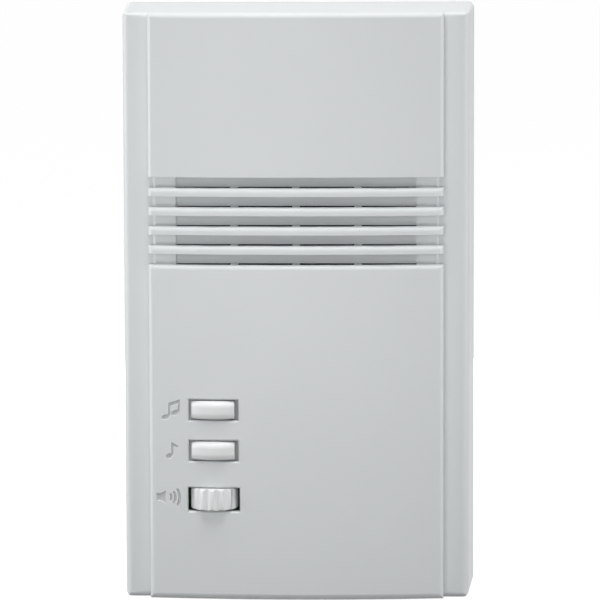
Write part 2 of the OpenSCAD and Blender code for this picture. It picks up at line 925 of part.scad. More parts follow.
module volume_wheel() {
    color(case_grey)
        translate([control_x, wheel_y, wheel_low])
            difference() {
                intersection() {
                    translate([0, 0, -over]) linear_extrude(height = wheel_h + 2 * over)
                        union() {
                            circle(wheel_r - ridge_depth);
                            for (i = [0 : ridges - 1])
                                rotate(ridge_first + i * 360 / ridges)
                                    translate([wheel_r - ridge_r, 0]) circle(ridge_r);
                        }
                    rotate_extrude() wheel_section();
                }
                translate([0, 0, -over]) cylinder(h = wheel_h + 2 * over, r = axle_r + pin_gap);
            }
}

module wheel_pin() {
    color(steel)
        translate([control_x, wheel_y, lower_ear]) cylinder(h = upper_ear + ear_h - lower_ear, r = axle_r);
}

module wheel_wiper() {
    color(brass)
        translate([control_x, wheel_y, wheel_low - wiper_t])
            difference() {
                union() {
                    cylinder(h = wiper_t, r = wiper_r);
                    translate([-wiper_w / 2, 0, 0]) cube([wiper_w, wiper_reach, wiper_t]);
                    translate([0, wiper_reach - wiper_tip_r - fit_gap, -wiper_tip])
                        cylinder(h = wiper_tip + wiper_t, r = wiper_tip_r);
                }
                translate([0, 0, -over]) cylinder(h = wiper_t + 2 * over, r = axle_r + fit_gap);
            }
}

module volume_track() {
    color(tan)
        translate([control_x, wheel_y, track_top - track_t])
            linear_extrude(height = track_t)
                difference() {
                    union() {
                        intersection() {
                            circle(track_r);
                            translate([-track_r, -track_nose]) square([2 * track_r, 2 * track_r]);
                        }
                        translate([-track_r, 0]) square([2 * track_r, board_front - wheel_y]);
                    }
                    circle(axle_r + pin_gap);
                }
}

module grille_cloth() {
    color(black) bar_y(0, speaker_z, inner_ledge, inner_ledge + cloth_t, speaker_r);
}

module speaker_gasket() {
    color(black)
        speaker_turn() ring(speaker_r - gasket_w, speaker_r, inner_ledge + cloth_t, flange_front);
}

module speaker_basket() {
    low = flange_back + basket_window_in;
    high = basket_back - sheet - basket_window_in;
    color(steel)
        difference() {
            speaker_turn()
                polygon([[rim_r, flange_front], [speaker_r, flange_front], [speaker_r, flange_back],
                    [rim_r + sheet, flange_back], [neck_r + sheet, basket_back], [seat_r, basket_back],
                    [seat_r, basket_back - sheet], [neck_r, basket_back - sheet]]);
            for (i = [0 : basket_windows - 1])
                translate([0, 0, speaker_z]) rotate([0, (i + 1 / 2) * 360 / basket_windows, 0])
                    translate([neck_r - over, low, -basket_window_w / 2])
                        cube([speaker_r, high - low, basket_window_w]);
        }
}

module speaker_surround() {
    color(black)
        speaker_turn()
            union() {
                difference() {
                    translate([roll_at, flange_front]) circle(roll_r);
                    translate([roll_at, flange_front]) circle(roll_r - roll_t);
                    translate([roll_at - 2 * roll_r, flange_front - 2 * roll_r])
                        square([4 * roll_r, 2 * roll_r]);
                }
                translate([roll_at + roll_r - roll_t, flange_front - lip_t])
                    square([speaker_r - gasket_w - fit_gap - roll_at - roll_r + roll_t, lip_t]);
            }
}

// Corrugated ring that steadies the voice coil
module speaker_spider() {
    run = spider_out - spider_foot - spider_in;
    seat = basket_back - sheet;
    step = run / (2 * spider_waves);
    inner = spider_out - spider_foot;
    up = [for (i = [0 : 2 * spider_waves]) [inner - i * step, seat - spider_t - (i % 2) * spider_wave]];
    down = [for (i = [2 * spider_waves : -1 : 1]) [inner - i * step, seat - (i % 2) * spider_wave]];
    color(tan)
        speaker_turn()
            polygon(concat([[spider_out, seat], [spider_out, seat - spider_t]], up, down, [[inner, seat]]));
}

module speaker_cone() {
    neck = former_r + former_t;
    color(paper)
        speaker_turn()
            polygon([[neck, coil_front + cone_t], [cone_r, cone_front], [cone_r, cone_front + cone_t],
                [neck, coil_front + 2 * cone_t]]);
}

module dust_cap() {
    color(paper)
        speaker_turn()
            difference() {
                intersection() {
                    translate([0, dome_apex + cap_dome_r]) circle(cap_dome_r);
                    translate([0, dome_apex - over]) square([dome_rim, over + dome_d]);
                }
                translate([0, dome_apex + cap_dome_r]) circle(cap_dome_r - dome_t);
            }
}

module voice_coil() {
    out = former_r + former_t;
    color(brass)
        speaker_turn()
            union() {
                ring(former_r, out, coil_front, coil_back);
                ring(out, out + winding_t, coil_back - winding_l, coil_back);
            }
}

module speaker_top_plate() {
    color(steel) speaker_turn() ring(gap_r, plate_r, basket_back, magnet_y);
}

module speaker_magnet() {
    color(ferrite) speaker_turn() ring(seat_r, plate_r, magnet_y, yoke_y);
}

module speaker_yoke() {
    color(steel)
        union() {
            bar_y(0, speaker_z, basket_back, yoke_y + yoke_h, pole_r);
            bar_y(0, speaker_z, yoke_y, yoke_y + yoke_h, yoke_r);
        }
}

module speaker_terminals() {
    back = flange_back + tag_t;
    color(brass)
        union() {
            translate([-tag_w / 2, flange_back, tag_z]) cube([tag_w, tag_t, tag_h]);
            for (s = [-1, 1])
                bar_y(s * tag_pitch, tag_z + tag_h / 2, back - root, back + tag_pin_l, tag_pin_r);
        }
}

module speaker_leads() {
    tip = flange_back + tag_t + tag_pin_l + wire_end;
    mid = tag_z + tag_h / 2;
    out = tag_pitch + lead_out;
    low = board_top - lead_in;
    color(red)
        for (s = [-1, 1])
            wire([[s * tag_pitch, tip, mid], [s * tag_pitch, tip + lead_rise, mid],
                [s * out, board_back + lead_bow, (mid + low) / 2],
                [s * out, board_back + lead_rise, low],
                [s * out, board_back + wire_end, low]], lead_r);
}

module speaker_screws() {
    color(steel)
        speaker_corners() screw(0, flange_back, 0, board_screw_r, spk_shank, spk_head_r, spk_head_t);
}

module main_board() {
    color(board_green)
        difference() {
            translate([-board_w / 2, board_front, board_low])
                cube([board_w, board_t, board_top - board_low]);
            board_corners() bar_y(0, 0, board_front - over, board_back + over, board_hole_r);
        }
}

module board_screws() {
    color(steel)
        board_corners() screw(0, board_back, 0, board_screw_r, board_shank, board_head_r, board_head_t);
}

module melody_chip() {
    chip_z = board_low + chip_up;
    color(black)
        union() {
            difference() {
                translate([chip_x - chip_w / 2, board_back + chip_lift, chip_z - chip_h / 2])
                    cube([chip_w, chip_t, chip_h]);
                bar_y(chip_x - chip_w / 2, chip_z, board_back + chip_t, board_back + 2 * chip_t, notch_r);
            }
            for (i = [0 : chip_legs - 1])
                for (s = [-1, 1])
                    translate([chip_x + (i - (chip_legs - 1) / 2) * leg_pitch, board_back + leg_up / 2,
                        chip_z + s * (chip_h / 2 + leg_out / 2)])
                        cube([leg_w, leg_up, leg_out + crease], center = true);
        }
}

module rf_receiver() {
    deck = rf_lift + rf_t;
    color(board_green)
        translate([rf_x, board_back, board_top - rf_drop])
            union() {
                cube([rf_w, rf_lift, rf_header]);
                translate([0, rf_lift, 0]) cube([rf_w, rf_t, rf_h]);
                translate([rf_pad, deck, rf_pad]) cube([shield_w, shield_t, shield_h]);
                bar_y(rf_w - 2 * coil_r, rf_h / 2, deck, deck + coil_h, coil_r);
            }
}

module capacitors() {
    color(black)
        for (p = can_places)
            difference() {
                bar_y(p[0], board_low + p[1], board_back, board_back + can_h, can_r);
                translate([p[0], board_back + can_h, board_low + p[1]])
                    cube([2 * can_r - 2 * can_rim, can_rim, can_rim], center = true);
                translate([p[0], board_back + can_h, board_low + p[1]])
                    cube([can_rim, can_rim, 2 * can_r - 2 * can_rim], center = true);
            }
}

module crystal() {
    color(steel)
        translate([crystal_x, 0, board_low + crystal_up]) upright(board_back, board_back + crystal_t)
            soft_rect(crystal_w, crystal_d, crystal_d / 2 - crease);
}

module antenna_wire() {
    side = body_w / 2 - antenna_side;
    foot = board_top - rf_drop + rf_header;
    color(black)
        wire([[antenna_x, board_back + wire_end, foot], [antenna_x, board_back + lead_rise, foot],
            [antenna_x, board_back + lead_lift, board_top],
            [side, board_back + 2 * lead_lift, board_top + 2 * lead_in],
            [side, board_back + 2 * lead_lift, speaker_z],
            [side, board_back + 2 * lead_lift, boss_z - antenna_top]], antenna_r);
}

module battery(i) {
    flip = i % 2;
    translate([0, cell_y, cell_z(i)]) rotate([0, 0, flip * 180])
        union() {
            bar_x(bay_w / 2 - contact_t - cell_l, bay_w / 2 - contact_t - cell_nub, 0, 0, cell_r);
            bar_x(bay_w / 2 - contact_t - cell_nub - root, bay_w / 2 - contact_t, 0, 0, cell_nub_r);
        }
}

module batteries() {
    color(cell_wrap)
        for (i = [0 : cells - 1]) battery(i);
}

// Conical spring: middle line from one formula, each end straight for one wire thickness
rings = ring_count * spring_turns;
spring_run = spring_l - 2 * wire_r - 2 * wire_end;
function spring_angle(i) = 360 * i / ring_count;
function spring_size(i) = spring_big + (spring_small - spring_big) * i / rings;
function spring_mid(i) = [wire_r + wire_end + spring_run * i / rings, spring_size(i) * cos(spring_angle(i)),
    spring_size(i) * sin(spring_angle(i))];
function spring_way(i) = [0, -sin(spring_angle(i)), cos(spring_angle(i))];
spring_line = concat([spring_mid(0) - 2 * wire_r * spring_way(0)], [for (i = [0 : rings]) spring_mid(i)],
    [spring_mid(rings) + 2 * wire_r * spring_way(rings)]);
spring_last = len(spring_line) - 1;
spring_gap = min([for (i = [0 : spring_last]) for (j = [i + ring_count / 2 : 1 : spring_last])
    norm(spring_line[i] - spring_line[j])]) - 2 * wire_r;
echo(least_spring_gap = spring_gap);

module battery_springs() {
    color(steel)
        for (i = [0 : cells - 1])
            translate([0, cell_y, cell_z(i)]) rotate([0, 0, (i % 2) * 180])
                translate([contact_t - bay_w / 2, 0, 0])
                    tube(spring_line, wire_r, ring_sides, [1, 0, 0]);
}

// Contact plate on the left (-1) or right (1) end wall, between two cells
module contact(s, i, j) {
    x = s * (bay_w / 2 - contact_t / 2);
    high = cell_z(i) + contact_w / 2;
    low = cell_z(j) - contact_w / 2;
    translate([x, cell_y, (high + low) / 2]) cube([contact_t, contact_w, high - low], center = true);
}

module battery_contacts() {
    color(steel)
        union() {
            contact(-1, 0, 1);
            contact(-1, cells - 1, cells - 1);
            contact(1, 0, 0);
            contact(1, 1, cells - 1);
            bar_x(bay_w / 2 - contact_t / 2, bay_w / 2 + tab_l, cell_y, cell_z(0), tab_r);
            bar_x(-bay_w / 2 - tab_l, contact_t / 2 - bay_w / 2, cell_y, cell_z(cells - 1), tab_r);
        }
}

module battery_leads() {
    tip = bay_w / 2 + tab_l + wire_end;
    side = tip + battery_lead_out;
    color(red)
        for (s = [-1, 1]) {
            z = s > 0 ? cell_z(0) : cell_z(cells - 1);
            end = z - s * battery_lead_drop;
            wire([[s * tip, cell_y, z], [s * (tip + lead_rise), cell_y, z],
                [s * side, cell_y - 2 * lead_lift, (z + end) / 2],
                [s * side, board_back + lead_rise, end],
                [s * side, board_back + wire_end, end]], lead_r);
        }
}

front_cover();
rear_housing();
battery_door();
cover_screws();
tune_button_upper();
tune_button_lower();
switch_plunger_upper();
switch_plunger_lower();
switch_bodies();
volume_wheel();
wheel_pin();
wheel_wiper();
volume_track();
grille_cloth();
speaker_basket();
speaker_gasket();
speaker_surround();
speaker_spider();
speaker_cone();
dust_cap();
voice_coil();
speaker_magnet();
speaker_top_plate();
speaker_yoke();
speaker_terminals();
speaker_leads();
speaker_screws();
main_board();
board_screws();
melody_chip();
rf_receiver();
capacitors();
crystal();
antenna_wire();
batteries();
battery_springs();
battery_contacts();
battery_leads();
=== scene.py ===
# %% [markdown]
# # A wall-hung door chime, dressed in Blender
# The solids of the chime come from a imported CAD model, in metres, with Z up and the front towards -Y.
# This lesson gives every piece its finish, cuts the signs into the cover, rounds what the moulds round,
# models the dry cells afresh, and sets up the light and the camera of a plain product photograph.

# %% Load the frame
import math

import bpy
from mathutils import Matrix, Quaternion, Vector


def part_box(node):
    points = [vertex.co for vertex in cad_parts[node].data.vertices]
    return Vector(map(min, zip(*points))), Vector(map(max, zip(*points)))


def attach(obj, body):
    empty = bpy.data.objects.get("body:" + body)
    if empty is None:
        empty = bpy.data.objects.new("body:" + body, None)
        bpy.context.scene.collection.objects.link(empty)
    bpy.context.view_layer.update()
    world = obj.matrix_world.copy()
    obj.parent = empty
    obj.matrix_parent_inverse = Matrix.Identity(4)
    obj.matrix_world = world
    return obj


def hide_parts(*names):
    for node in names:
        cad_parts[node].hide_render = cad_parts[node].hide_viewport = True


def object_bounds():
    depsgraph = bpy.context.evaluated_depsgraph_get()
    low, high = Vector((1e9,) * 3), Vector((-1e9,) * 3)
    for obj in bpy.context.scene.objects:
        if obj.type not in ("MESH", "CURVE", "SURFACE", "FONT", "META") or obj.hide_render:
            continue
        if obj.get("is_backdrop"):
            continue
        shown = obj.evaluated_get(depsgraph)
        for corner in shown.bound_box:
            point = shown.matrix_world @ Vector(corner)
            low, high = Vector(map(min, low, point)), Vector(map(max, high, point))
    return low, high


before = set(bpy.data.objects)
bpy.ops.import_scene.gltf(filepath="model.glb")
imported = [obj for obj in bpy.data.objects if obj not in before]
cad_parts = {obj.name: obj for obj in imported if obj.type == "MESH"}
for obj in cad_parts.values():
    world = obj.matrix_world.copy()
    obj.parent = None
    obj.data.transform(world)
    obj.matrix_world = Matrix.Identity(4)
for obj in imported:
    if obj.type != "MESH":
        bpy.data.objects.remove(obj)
cad_low, cad_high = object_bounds()
MM = 0.001
print("CAD box in mm:", [round(x / MM, 2) for x in (*cad_low, *cad_high)])

# %% [markdown]
# ## Small helpers
# Operators act on whatever is selected, so each step first clears the selection and then picks its own
# object. Three more moves repeat: choosing faces by a test, finishing a modifier, and handing a finished
# piece over to the frame. Each has its own helper.

# %% Selection helpers


def pick(piece):
    """Makes one object the selected and active one."""
    if bpy.context.object and bpy.context.object.mode != "OBJECT":
        bpy.ops.object.mode_set(mode="OBJECT")
    bpy.ops.object.select_all(action="DESELECT")
    piece.hide_set(False)
    piece.select_set(True)
    bpy.context.view_layer.objects.active = piece


def choose_faces(piece, test):
    """Selects the faces whose middle and normal pass the test, and opens edit mode on them."""
    pick(piece)
    bpy.ops.object.mode_set(mode="EDIT")
    bpy.ops.mesh.select_mode(type="FACE")
    bpy.ops.mesh.select_all(action="DESELECT")
    bpy.ops.object.mode_set(mode="OBJECT")
    for face in piece.data.polygons:
        face.select = test(face.center, face.normal)
    bpy.ops.object.mode_set(mode="EDIT")


def finish_modifier(piece, kind, **settings):
    """Adds a modifier with its settings and applies it."""
    pick(piece)
    modifier = piece.modifiers.new(kind.lower(), kind)
    for name, value in settings.items():
        setattr(modifier, name, value)
    bpy.ops.object.modifier_apply(modifier=modifier.name)


def settle(piece, name, body, slot, *nodes):
    """Names a finished piece, puts its place into its mesh and ties it to the frame."""
    pick(piece)
    bpy.ops.object.transform_apply(location=True, rotation=True, scale=True)
    piece.name = name
    piece.data.name = name
    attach(piece, body)
    if nodes:
        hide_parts(*nodes)
    print(name, len(piece.data.polygons), "faces, rides on", body)


# %% [markdown]
# ## The camera
# The photograph is a long-lens product shot: nearly straight on, a little from the right and from above.
# Its angles and distance were found by lining up the case's edges with the picture, so the camera is set
# by those few numbers and needs no lens shift.

# %% Camera
VIEW_AZIMUTH = 2.02
VIEW_ELEVATION = 5.98
VIEW_ROLL = -0.17
VIEW_DISTANCE = 1017.6 * MM
VIEW_TARGET = Vector((0.98, -34.5, 1.72)) * MM
LENS_MM = 228.7
SENSOR_MM = 36
NEAREST, FARTHEST = 0.05, 50

azimuth = math.radians(VIEW_AZIMUTH)
elevation = math.radians(VIEW_ELEVATION)
back = Vector((math.sin(azimuth) * math.cos(elevation),
               -math.cos(azimuth) * math.cos(elevation), math.sin(elevation)))
roll = Quaternion((0, 0, 1), math.radians(VIEW_ROLL))
bpy.ops.object.camera_add(location=VIEW_TARGET + back * VIEW_DISTANCE)
camera = bpy.context.object
camera.rotation_mode = "QUATERNION"
camera.rotation_quaternion = (-back).to_track_quat("-Z", "Y") @ roll
camera.data.lens = LENS_MM
camera.data.sensor_width = SENSOR_MM
camera.data.clip_start = NEAREST
camera.data.clip_end = FARTHEST
bpy.context.scene.camera = camera
print("camera at", [round(x, 3) for x in camera.location])

# %% [markdown]
# ## Nodes in one line
# A procedural material is a chain of nodes. One function adds a node, sets its values and links its
# inputs. Colours are written as the sRGB hex a painter reads off a screen and turned to linear light.

# %% Node and colour helpers
HIGHER = {"operation": "MAXIMUM"}
COLOUR_MIX = {"data_type": "RGBA"}
MIX_A, MIX_B, MIX_OUT = 6, 7, 2     # a Mix node's colour sockets, which share names with its number sockets


def linear(hex_code):
    """sRGB hex to linear RGBA."""
    values = [int(hex_code[i:i + 2], 16) / 255 for i in (1, 3, 5)]
    return (*[v / 12.92 if v <= 0.04045 else ((v + 0.055) / 1.055) ** 2.4 for v in values], 1)


def grey(level):
    """Neutral RGBA of one linear level."""
    return (level, level, level, 1)


def add(tree, kind, settings=None, values=None, links=None):
    """Adds a node: properties, socket values, and links from other nodes' sockets."""
    node = tree.nodes.new(kind)
    for name, value in (settings or {}).items():
        setattr(node, name, value)
    for name, value in (values or {}).items():
        node.inputs[name].default_value = value
    for name, socket in (links or {}).items():
        tree.links.new(socket, node.inputs[name])
    return node


def new_material(name):
    """Empty material with its output node."""
    material = bpy.data.materials.new(name)
    material.use_nodes = True
    material.node_tree.nodes.clear()
    output = add(material.node_tree, "ShaderNodeOutputMaterial")
    return material, material.node_tree, output


# %% [markdown]
# ## Floor and world
# The picture has a pure white ground. The floor and the world look white to the camera, in mirrors and
# through glass by way of the Light Path node, while the light that falls on the chime stays at a plain
# level. A floor seen from below is clear, so that the underside can be looked at.

# %% Floor
FLOOR_HALF = 12.0
FLOOR_DROP = 0.1 * MM
FLOOR_GLOW = 0.98
FLOOR_LIT = 0.25
FLOOR_SHADE = 0.18


def looking_rays(tree):
    """Socket that is 1 for camera, mirror and see-through rays, and 0 for the rays that light things."""
    path = add(tree, "ShaderNodeLightPath")
    mirror = add(tree, "ShaderNodeMath", HIGHER,
                 links={0: path.outputs["Is Camera Ray"], 1: path.outputs["Is Glossy Ray"]})
    seen = add(tree, "ShaderNodeMath", HIGHER,
               links={0: mirror.outputs[0], 1: path.outputs["Is Transmission Ray"]})
    return seen.outputs[0]


bpy.ops.object.select_all(action="DESELECT")
bpy.ops.mesh.primitive_plane_add(size=2 * FLOOR_HALF, location=(0, 0, cad_low.z - FLOOR_DROP))
floor = bpy.context.object
floor.name = "floor"
pick(floor)
bpy.ops.object.transform_apply(location=True, rotation=True, scale=True)
floor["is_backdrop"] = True

material, tree, output = new_material("pale_floor")
lit = add(tree, "ShaderNodeBsdfDiffuse", values={"Color": grey(FLOOR_LIT)})
shade = add(tree, "ShaderNodeBsdfDiffuse", values={"Color": grey(FLOOR_SHADE)})
glow = add(tree, "ShaderNodeEmission", values={"Color": grey(1), "Strength": FLOOR_GLOW})
white = add(tree, "ShaderNodeAddShader", links={0: shade.outputs[0], 1: glow.outputs[0]})
top = add(tree, "ShaderNodeMixShader", links={0: looking_rays(tree), 1: lit.outputs[0], 2: white.outputs[0]})
clear = add(tree, "ShaderNodeBsdfTransparent")
side = add(tree, "ShaderNodeNewGeometry")
sides = add(tree, "ShaderNodeMixShader",
            links={0: side.outputs["Backfacing"], 1: top.outputs[0], 2: clear.outputs[0]})
tree.links.new(sides.outputs[0], output.inputs["Surface"])
floor.data.materials.append(material)
print("floor at", round((cad_low.z - FLOOR_DROP) / MM, 2), "mm")

# %% World
AMBIENT = 0.05
AMBIENT_TINT = (0.97, 0.99, 1.0, 1)

world = bpy.data.worlds.new("white_room")
bpy.context.scene.world = world
world.use_nodes = True
tree = world.node_tree
tree.nodes.clear()
fill = add(tree, "ShaderNodeBackground", values={"Color": AMBIENT_TINT, "Strength": AMBIENT})
ground = add(tree, "ShaderNodeBackground", values={"Color": grey(1), "Strength": 1.0})
both = add(tree, "ShaderNodeMixShader",
           links={0: looking_rays(tree), 1: fill.outputs[0], 2: ground.outputs[0]})
add(tree, "ShaderNodeOutputWorld", links={"Surface": both.outputs[0]})
bpy.context.scene.view_settings.view_transform = "Standard"
print("ambient level", AMBIENT)

# %% [markdown]
# ## Lamps
# Soft boxes light the chime, as in a product studio. Two small ones close to the front make the panel fade
# towards its lower end. Two large ones overhead light the ribs and throw the soft shadows under the caps.
# The other boxes light the top wall, the side walls and the back.

# %% Soft boxes


def softbox(name, place, aim, size, watts):
    """Square area lamp at a place, turned to an aim, both in millimetres, as its size is."""
    where = Vector(place) * MM
    bpy.ops.object.light_add(type="AREA", location=where)
    lamp = bpy.context.object
    lamp.name = name
    lamp.rotation_mode = "QUATERNION"
    lamp.rotation_quaternion = (Vector(aim) * MM - where).to_track_quat("-Z", "Y")
    lamp.data.shape = "SQUARE"
    lamp.data.size = size * MM
    lamp.data.energy = watts
    lamp.visible_camera = False


softbox("key_box", (-25, -262, 20), (0, -38, 16), 160, 0.182)
softbox("side_key_box", (150, -200, 15), (30, -38, 10), 100, 0.020)
softbox("steep_box", (-40, -420, 1000), (0, -38, 10), 400, 3.2)
softbox("over_box", (-20, -150, 480), (0, -38, 10), 400, 1.30)
softbox("back_box", (0, 60, 420), (0, -10, 80), 300, 0.10)
softbox("right_box", (450, -60, 60), (45, -15, 0), 300, 0.92)
softbox("left_box", (-450, -60, 60), (-45, -15, 0), 300, 1.15)
softbox("rear_box", (0, 520, 0), (0, 0, 0), 150, 2.0)

# %% [markdown]
# ## Moulded ABS
# The case, buttons and wheel are injection-moulded ABS. The mould's spark-eroded steel leaves a fine,
# even grain that breaks up highlights, so the plastic looks satin. Its tone drifts a little where the
# melt flowed. The real grain is about 0.1 mm, too fine for this picture, so it is drawn at 0.35 mm.

# %% Moulded plastic
GRAIN_MM = 0.35
GRAIN_DEPTH = 0.05
DRIFT_MM = 28.0
ABS_IOR = 1.53
NOISE_LOW, NOISE_HIGH = 0.3, 0.7    # most of a noise texture's values lie between these


def per_metre(size_mm):
    """Texture scale that gives one feature every size_mm."""
    return 1 / (size_mm * MM)


def rough_range(roughness, less, more):
    """Map Range values that turn a noise into a roughness a little below and above a given one."""
    return {"From Min": NOISE_LOW, "From Max": NOISE_HIGH,
            "To Min": roughness - less, "To Max": roughness + more}


def moulded_abs(name, colour, shade, roughness, grain_bump=0.10):
    """Satin moulded plastic: tone drift, fine grain in bump and roughness."""
    material, tree, output = new_material(name)
    place = add(tree, "ShaderNodeTexCoord").outputs["Object"]
    drift = add(tree, "ShaderNodeTexNoise", values={"Scale": per_metre(DRIFT_MM), "Detail": 2.0},
                links={"Vector": place})
    grain = add(tree, "ShaderNodeTexNoise", values={"Scale": per_metre(GRAIN_MM), "Detail": 3.0},
                links={"Vector": place})
    tone = add(tree, "ShaderNodeMix", COLOUR_MIX, {MIX_A: linear(colour), MIX_B: linear(shade)},
               {"Factor": drift.outputs["Fac"]})
    rough = add(tree, "ShaderNodeMapRange", values=rough_range(roughness, 0.05, 0.05),
                links={"Value": grain.outputs["Fac"]})
    bump = add(tree, "ShaderNodeBump", values={"Strength": grain_bump, "Distance": GRAIN_DEPTH * MM},
               links={"Height": grain.outputs["Fac"]})
    shader = add(tree, "ShaderNodeBsdfPrincipled", values={"IOR": ABS_IOR},
                 links={"Base Color": tone.outputs[MIX_OUT], "Roughness": rough.outputs["Result"],
                        "Normal": bump.outputs["Normal"]})
    tree.links.new(shader.outputs[0], output.inputs["Surface"])
    return material


case_abs = moulded_abs("case_moulded_abs", "#DDE0E1", "#D9DCDD", 0.46)
button_abs = moulded_abs("button_moulded_abs", "#E9EBEB", "#E6E8E8", 0.38)
wheel_abs = moulded_abs("wheel_moulded_abs", "#EEF0F0", "#EAECEC", 0.42)
black_abs = moulded_abs("black_moulded_abs", "#1B1B1C", "#202021", 0.45)
print("plastics:", case_abs.name, button_abs.name, wheel_abs.name, black_abs.name)

# %% [markdown]
# ## Plated metals
# Screws, springs, tags and the loudspeaker's frame are pressed or drawn metal with a thin plating. Plating
# is never quite even: it clouds in soft patches, and the drawing die or the rolling mill leaves faint lines
# along the piece. The clouds go into colour and roughness, and the lines into the bump. Metal keeps the
# default IOR.

# %% Metals
DRAWN_OUT = (1, 0.06, 1)
LINE_DEPTH = 0.03


def plated_metal(name, colour, stain, roughness, cloud_mm=3.0, line_mm=0.25):
    """Metal with a cloudy plating and fine lines left by drawing or rolling."""
    material, tree, output = new_material(name)
    place = add(tree, "ShaderNodeTexCoord").outputs["Object"]
    cloud = add(tree, "ShaderNodeTexNoise", values={"Scale": per_metre(cloud_mm), "Detail": 4.0},
                links={"Vector": place})
    pull = add(tree, "ShaderNodeMapping", values={"Scale": DRAWN_OUT}, links={"Vector": place})
    line = add(tree, "ShaderNodeTexNoise", values={"Scale": per_metre(line_mm), "Detail": 2.0},
               links={"Vector": pull.outputs["Vector"]})
    tone = add(tree, "ShaderNodeMix", COLOUR_MIX, {MIX_A: linear(colour), MIX_B: linear(stain)},
               {"Factor": cloud.outputs["Fac"]})
    rough = add(tree, "ShaderNodeMapRange", values=rough_range(roughness, 0.08, 0.1),
                links={"Value": cloud.outputs["Fac"]})
    bump = add(tree, "ShaderNodeBump", values={"Strength": 0.12, "Distance": LINE_DEPTH * MM},
               links={"Height": line.outputs["Fac"]})
    shader = add(tree, "ShaderNodeBsdfPrincipled", values={"Metallic": 1.0},
                 links={"Base Color": tone.outputs[MIX_OUT], "Roughness": rough.outputs["Result"],
                        "Normal": bump.outputs["Normal"]})
    tree.links.new(shader.outputs[0], output.inputs["Surface"])
    return material


zinc_steel = plated_metal("zinc_plated_steel", "#C4C6C8", "#AEB0B0", 0.34)
nickel_steel = plated_metal("nickel_plated_spring_steel", "#D3D0C8", "#BDB9AE", 0.24)
sheet_steel = plated_metal("galvanised_sheet_steel", "#B4B8BB", "#9BA0A4", 0.40, cloud_mm=6.0)
tag_brass = plated_metal("rolled_brass", "#C8A552", "#A98440", 0.30)
print("metals:", zinc_steel.name, nickel_steel.name, sheet_steel.name, tag_brass.name)

# %% [markdown]
# ## Woven cloth
# The grille cloth, the treated roll of the loudspeaker and its tan spider are plain weaves: threads that go
# over and under each other, dark in the holes between. Two crossing waves give the threads, and the higher
# of the two gives tone and bump. The real threads are 0.3 to 0.5 mm apart and are drawn at about twice that.

# %% Weaves
WAVE_TURNS = 20     # Blender multiplies a wave texture's place by this before it takes the sine
THREAD_WAVER = 0.6
WEAVE_DEPTH = 0.2


def wave_scale(pitch_mm):
    """Scale of a wave texture whose bands repeat every pitch_mm."""
    return math.tau / WAVE_TURNS / (pitch_mm * MM)


def woven_cloth(name, thread, hole, pitch_mm, sheen):
    """Plain weave across X and Z, the plane in which the loudspeaker's pieces lie."""
    material, tree, output = new_material(name)
    place = add(tree, "ShaderNodeTexCoord").outputs["Object"]
    warp, weft = [add(tree, "ShaderNodeTexWave", {"bands_direction": way},
                      {"Scale": wave_scale(pitch_mm), "Distortion": THREAD_WAVER}, {"Vector": place})
                  for way in ("X", "Z")]
    cross = add(tree, "ShaderNodeMath", HIGHER, links={0: warp.outputs["Fac"], 1: weft.outputs["Fac"]})
    tone = add(tree, "ShaderNodeMix", COLOUR_MIX, {MIX_A: linear(hole), MIX_B: linear(thread)},
               {"Factor": cross.outputs[0]})
    bump = add(tree, "ShaderNodeBump", values={"Strength": 0.6, "Distance": WEAVE_DEPTH * MM},
               links={"Height": cross.outputs[0]})
    shader = add(tree, "ShaderNodeBsdfPrincipled",
                 values={"Roughness": 0.85, "Sheen Weight": sheen, "Sheen Roughness": 0.4},
                 links={"Base Color": tone.outputs[MIX_OUT], "Normal": bump.outputs["Normal"]})
    tree.links.new(shader.outputs[0], output.inputs["Surface"])
    return material


grille_weave = woven_cloth("black_grille_cloth", "#242425", "#0B0B0C", 1.0, 0.15)
roll_weave = woven_cloth("rubbered_roll_cloth", "#1E1E20", "#141415", 0.6, 0.05)
spider_weave = woven_cloth("varnished_spider_cloth", "#B08A55", "#7C5C34", 0.7, 0.1)
print("cloths:", grille_weave.name, roll_weave.name, spider_weave.name)

# %% [markdown]
# ## Grainy solids
# Foam, pulp, ferrite, sleeves and lead vinyl differ in colour, in how coarse their grain is and in gloss.
# Foam is open cells, pulp is felted fibres, ferrite is a fine sintered grit, and vinyl is nearly smooth.
# One recipe takes a grain size, a depth and a gloss, and each material says what it is.

# %% Foam, pulp, ferrite and vinyl


def grained(name, colour, shade, grain_mm, depth_mm, roughness, stretch=(1, 1, 1)):
    """Solid with one grain in its colour and relief, which may be drawn out along an axis."""
    material, tree, output = new_material(name)
    place = add(tree, "ShaderNodeTexCoord").outputs["Object"]
    pull = add(tree, "ShaderNodeMapping", values={"Scale": stretch}, links={"Vector": place})
    grain = add(tree, "ShaderNodeTexNoise", values={"Scale": per_metre(grain_mm), "Detail": 5.0},
                links={"Vector": pull.outputs["Vector"]})
    tone = add(tree, "ShaderNodeMix", COLOUR_MIX, {MIX_A: linear(colour), MIX_B: linear(shade)},
               {"Factor": grain.outputs["Fac"]})
    bump = add(tree, "ShaderNodeBump", values={"Strength": 0.5, "Distance": depth_mm * MM},
               links={"Height": grain.outputs["Fac"]})
    rough = add(tree, "ShaderNodeMapRange", values=rough_range(roughness, 0.05, 0.05),
                links={"Value": grain.outputs["Fac"]})
    shader = add(tree, "ShaderNodeBsdfPrincipled",
                 links={"Base Color": tone.outputs[MIX_OUT], "Roughness": rough.outputs["Result"],
                        "Normal": bump.outputs["Normal"]})
    tree.links.new(shader.outputs[0], output.inputs["Surface"])
    return material


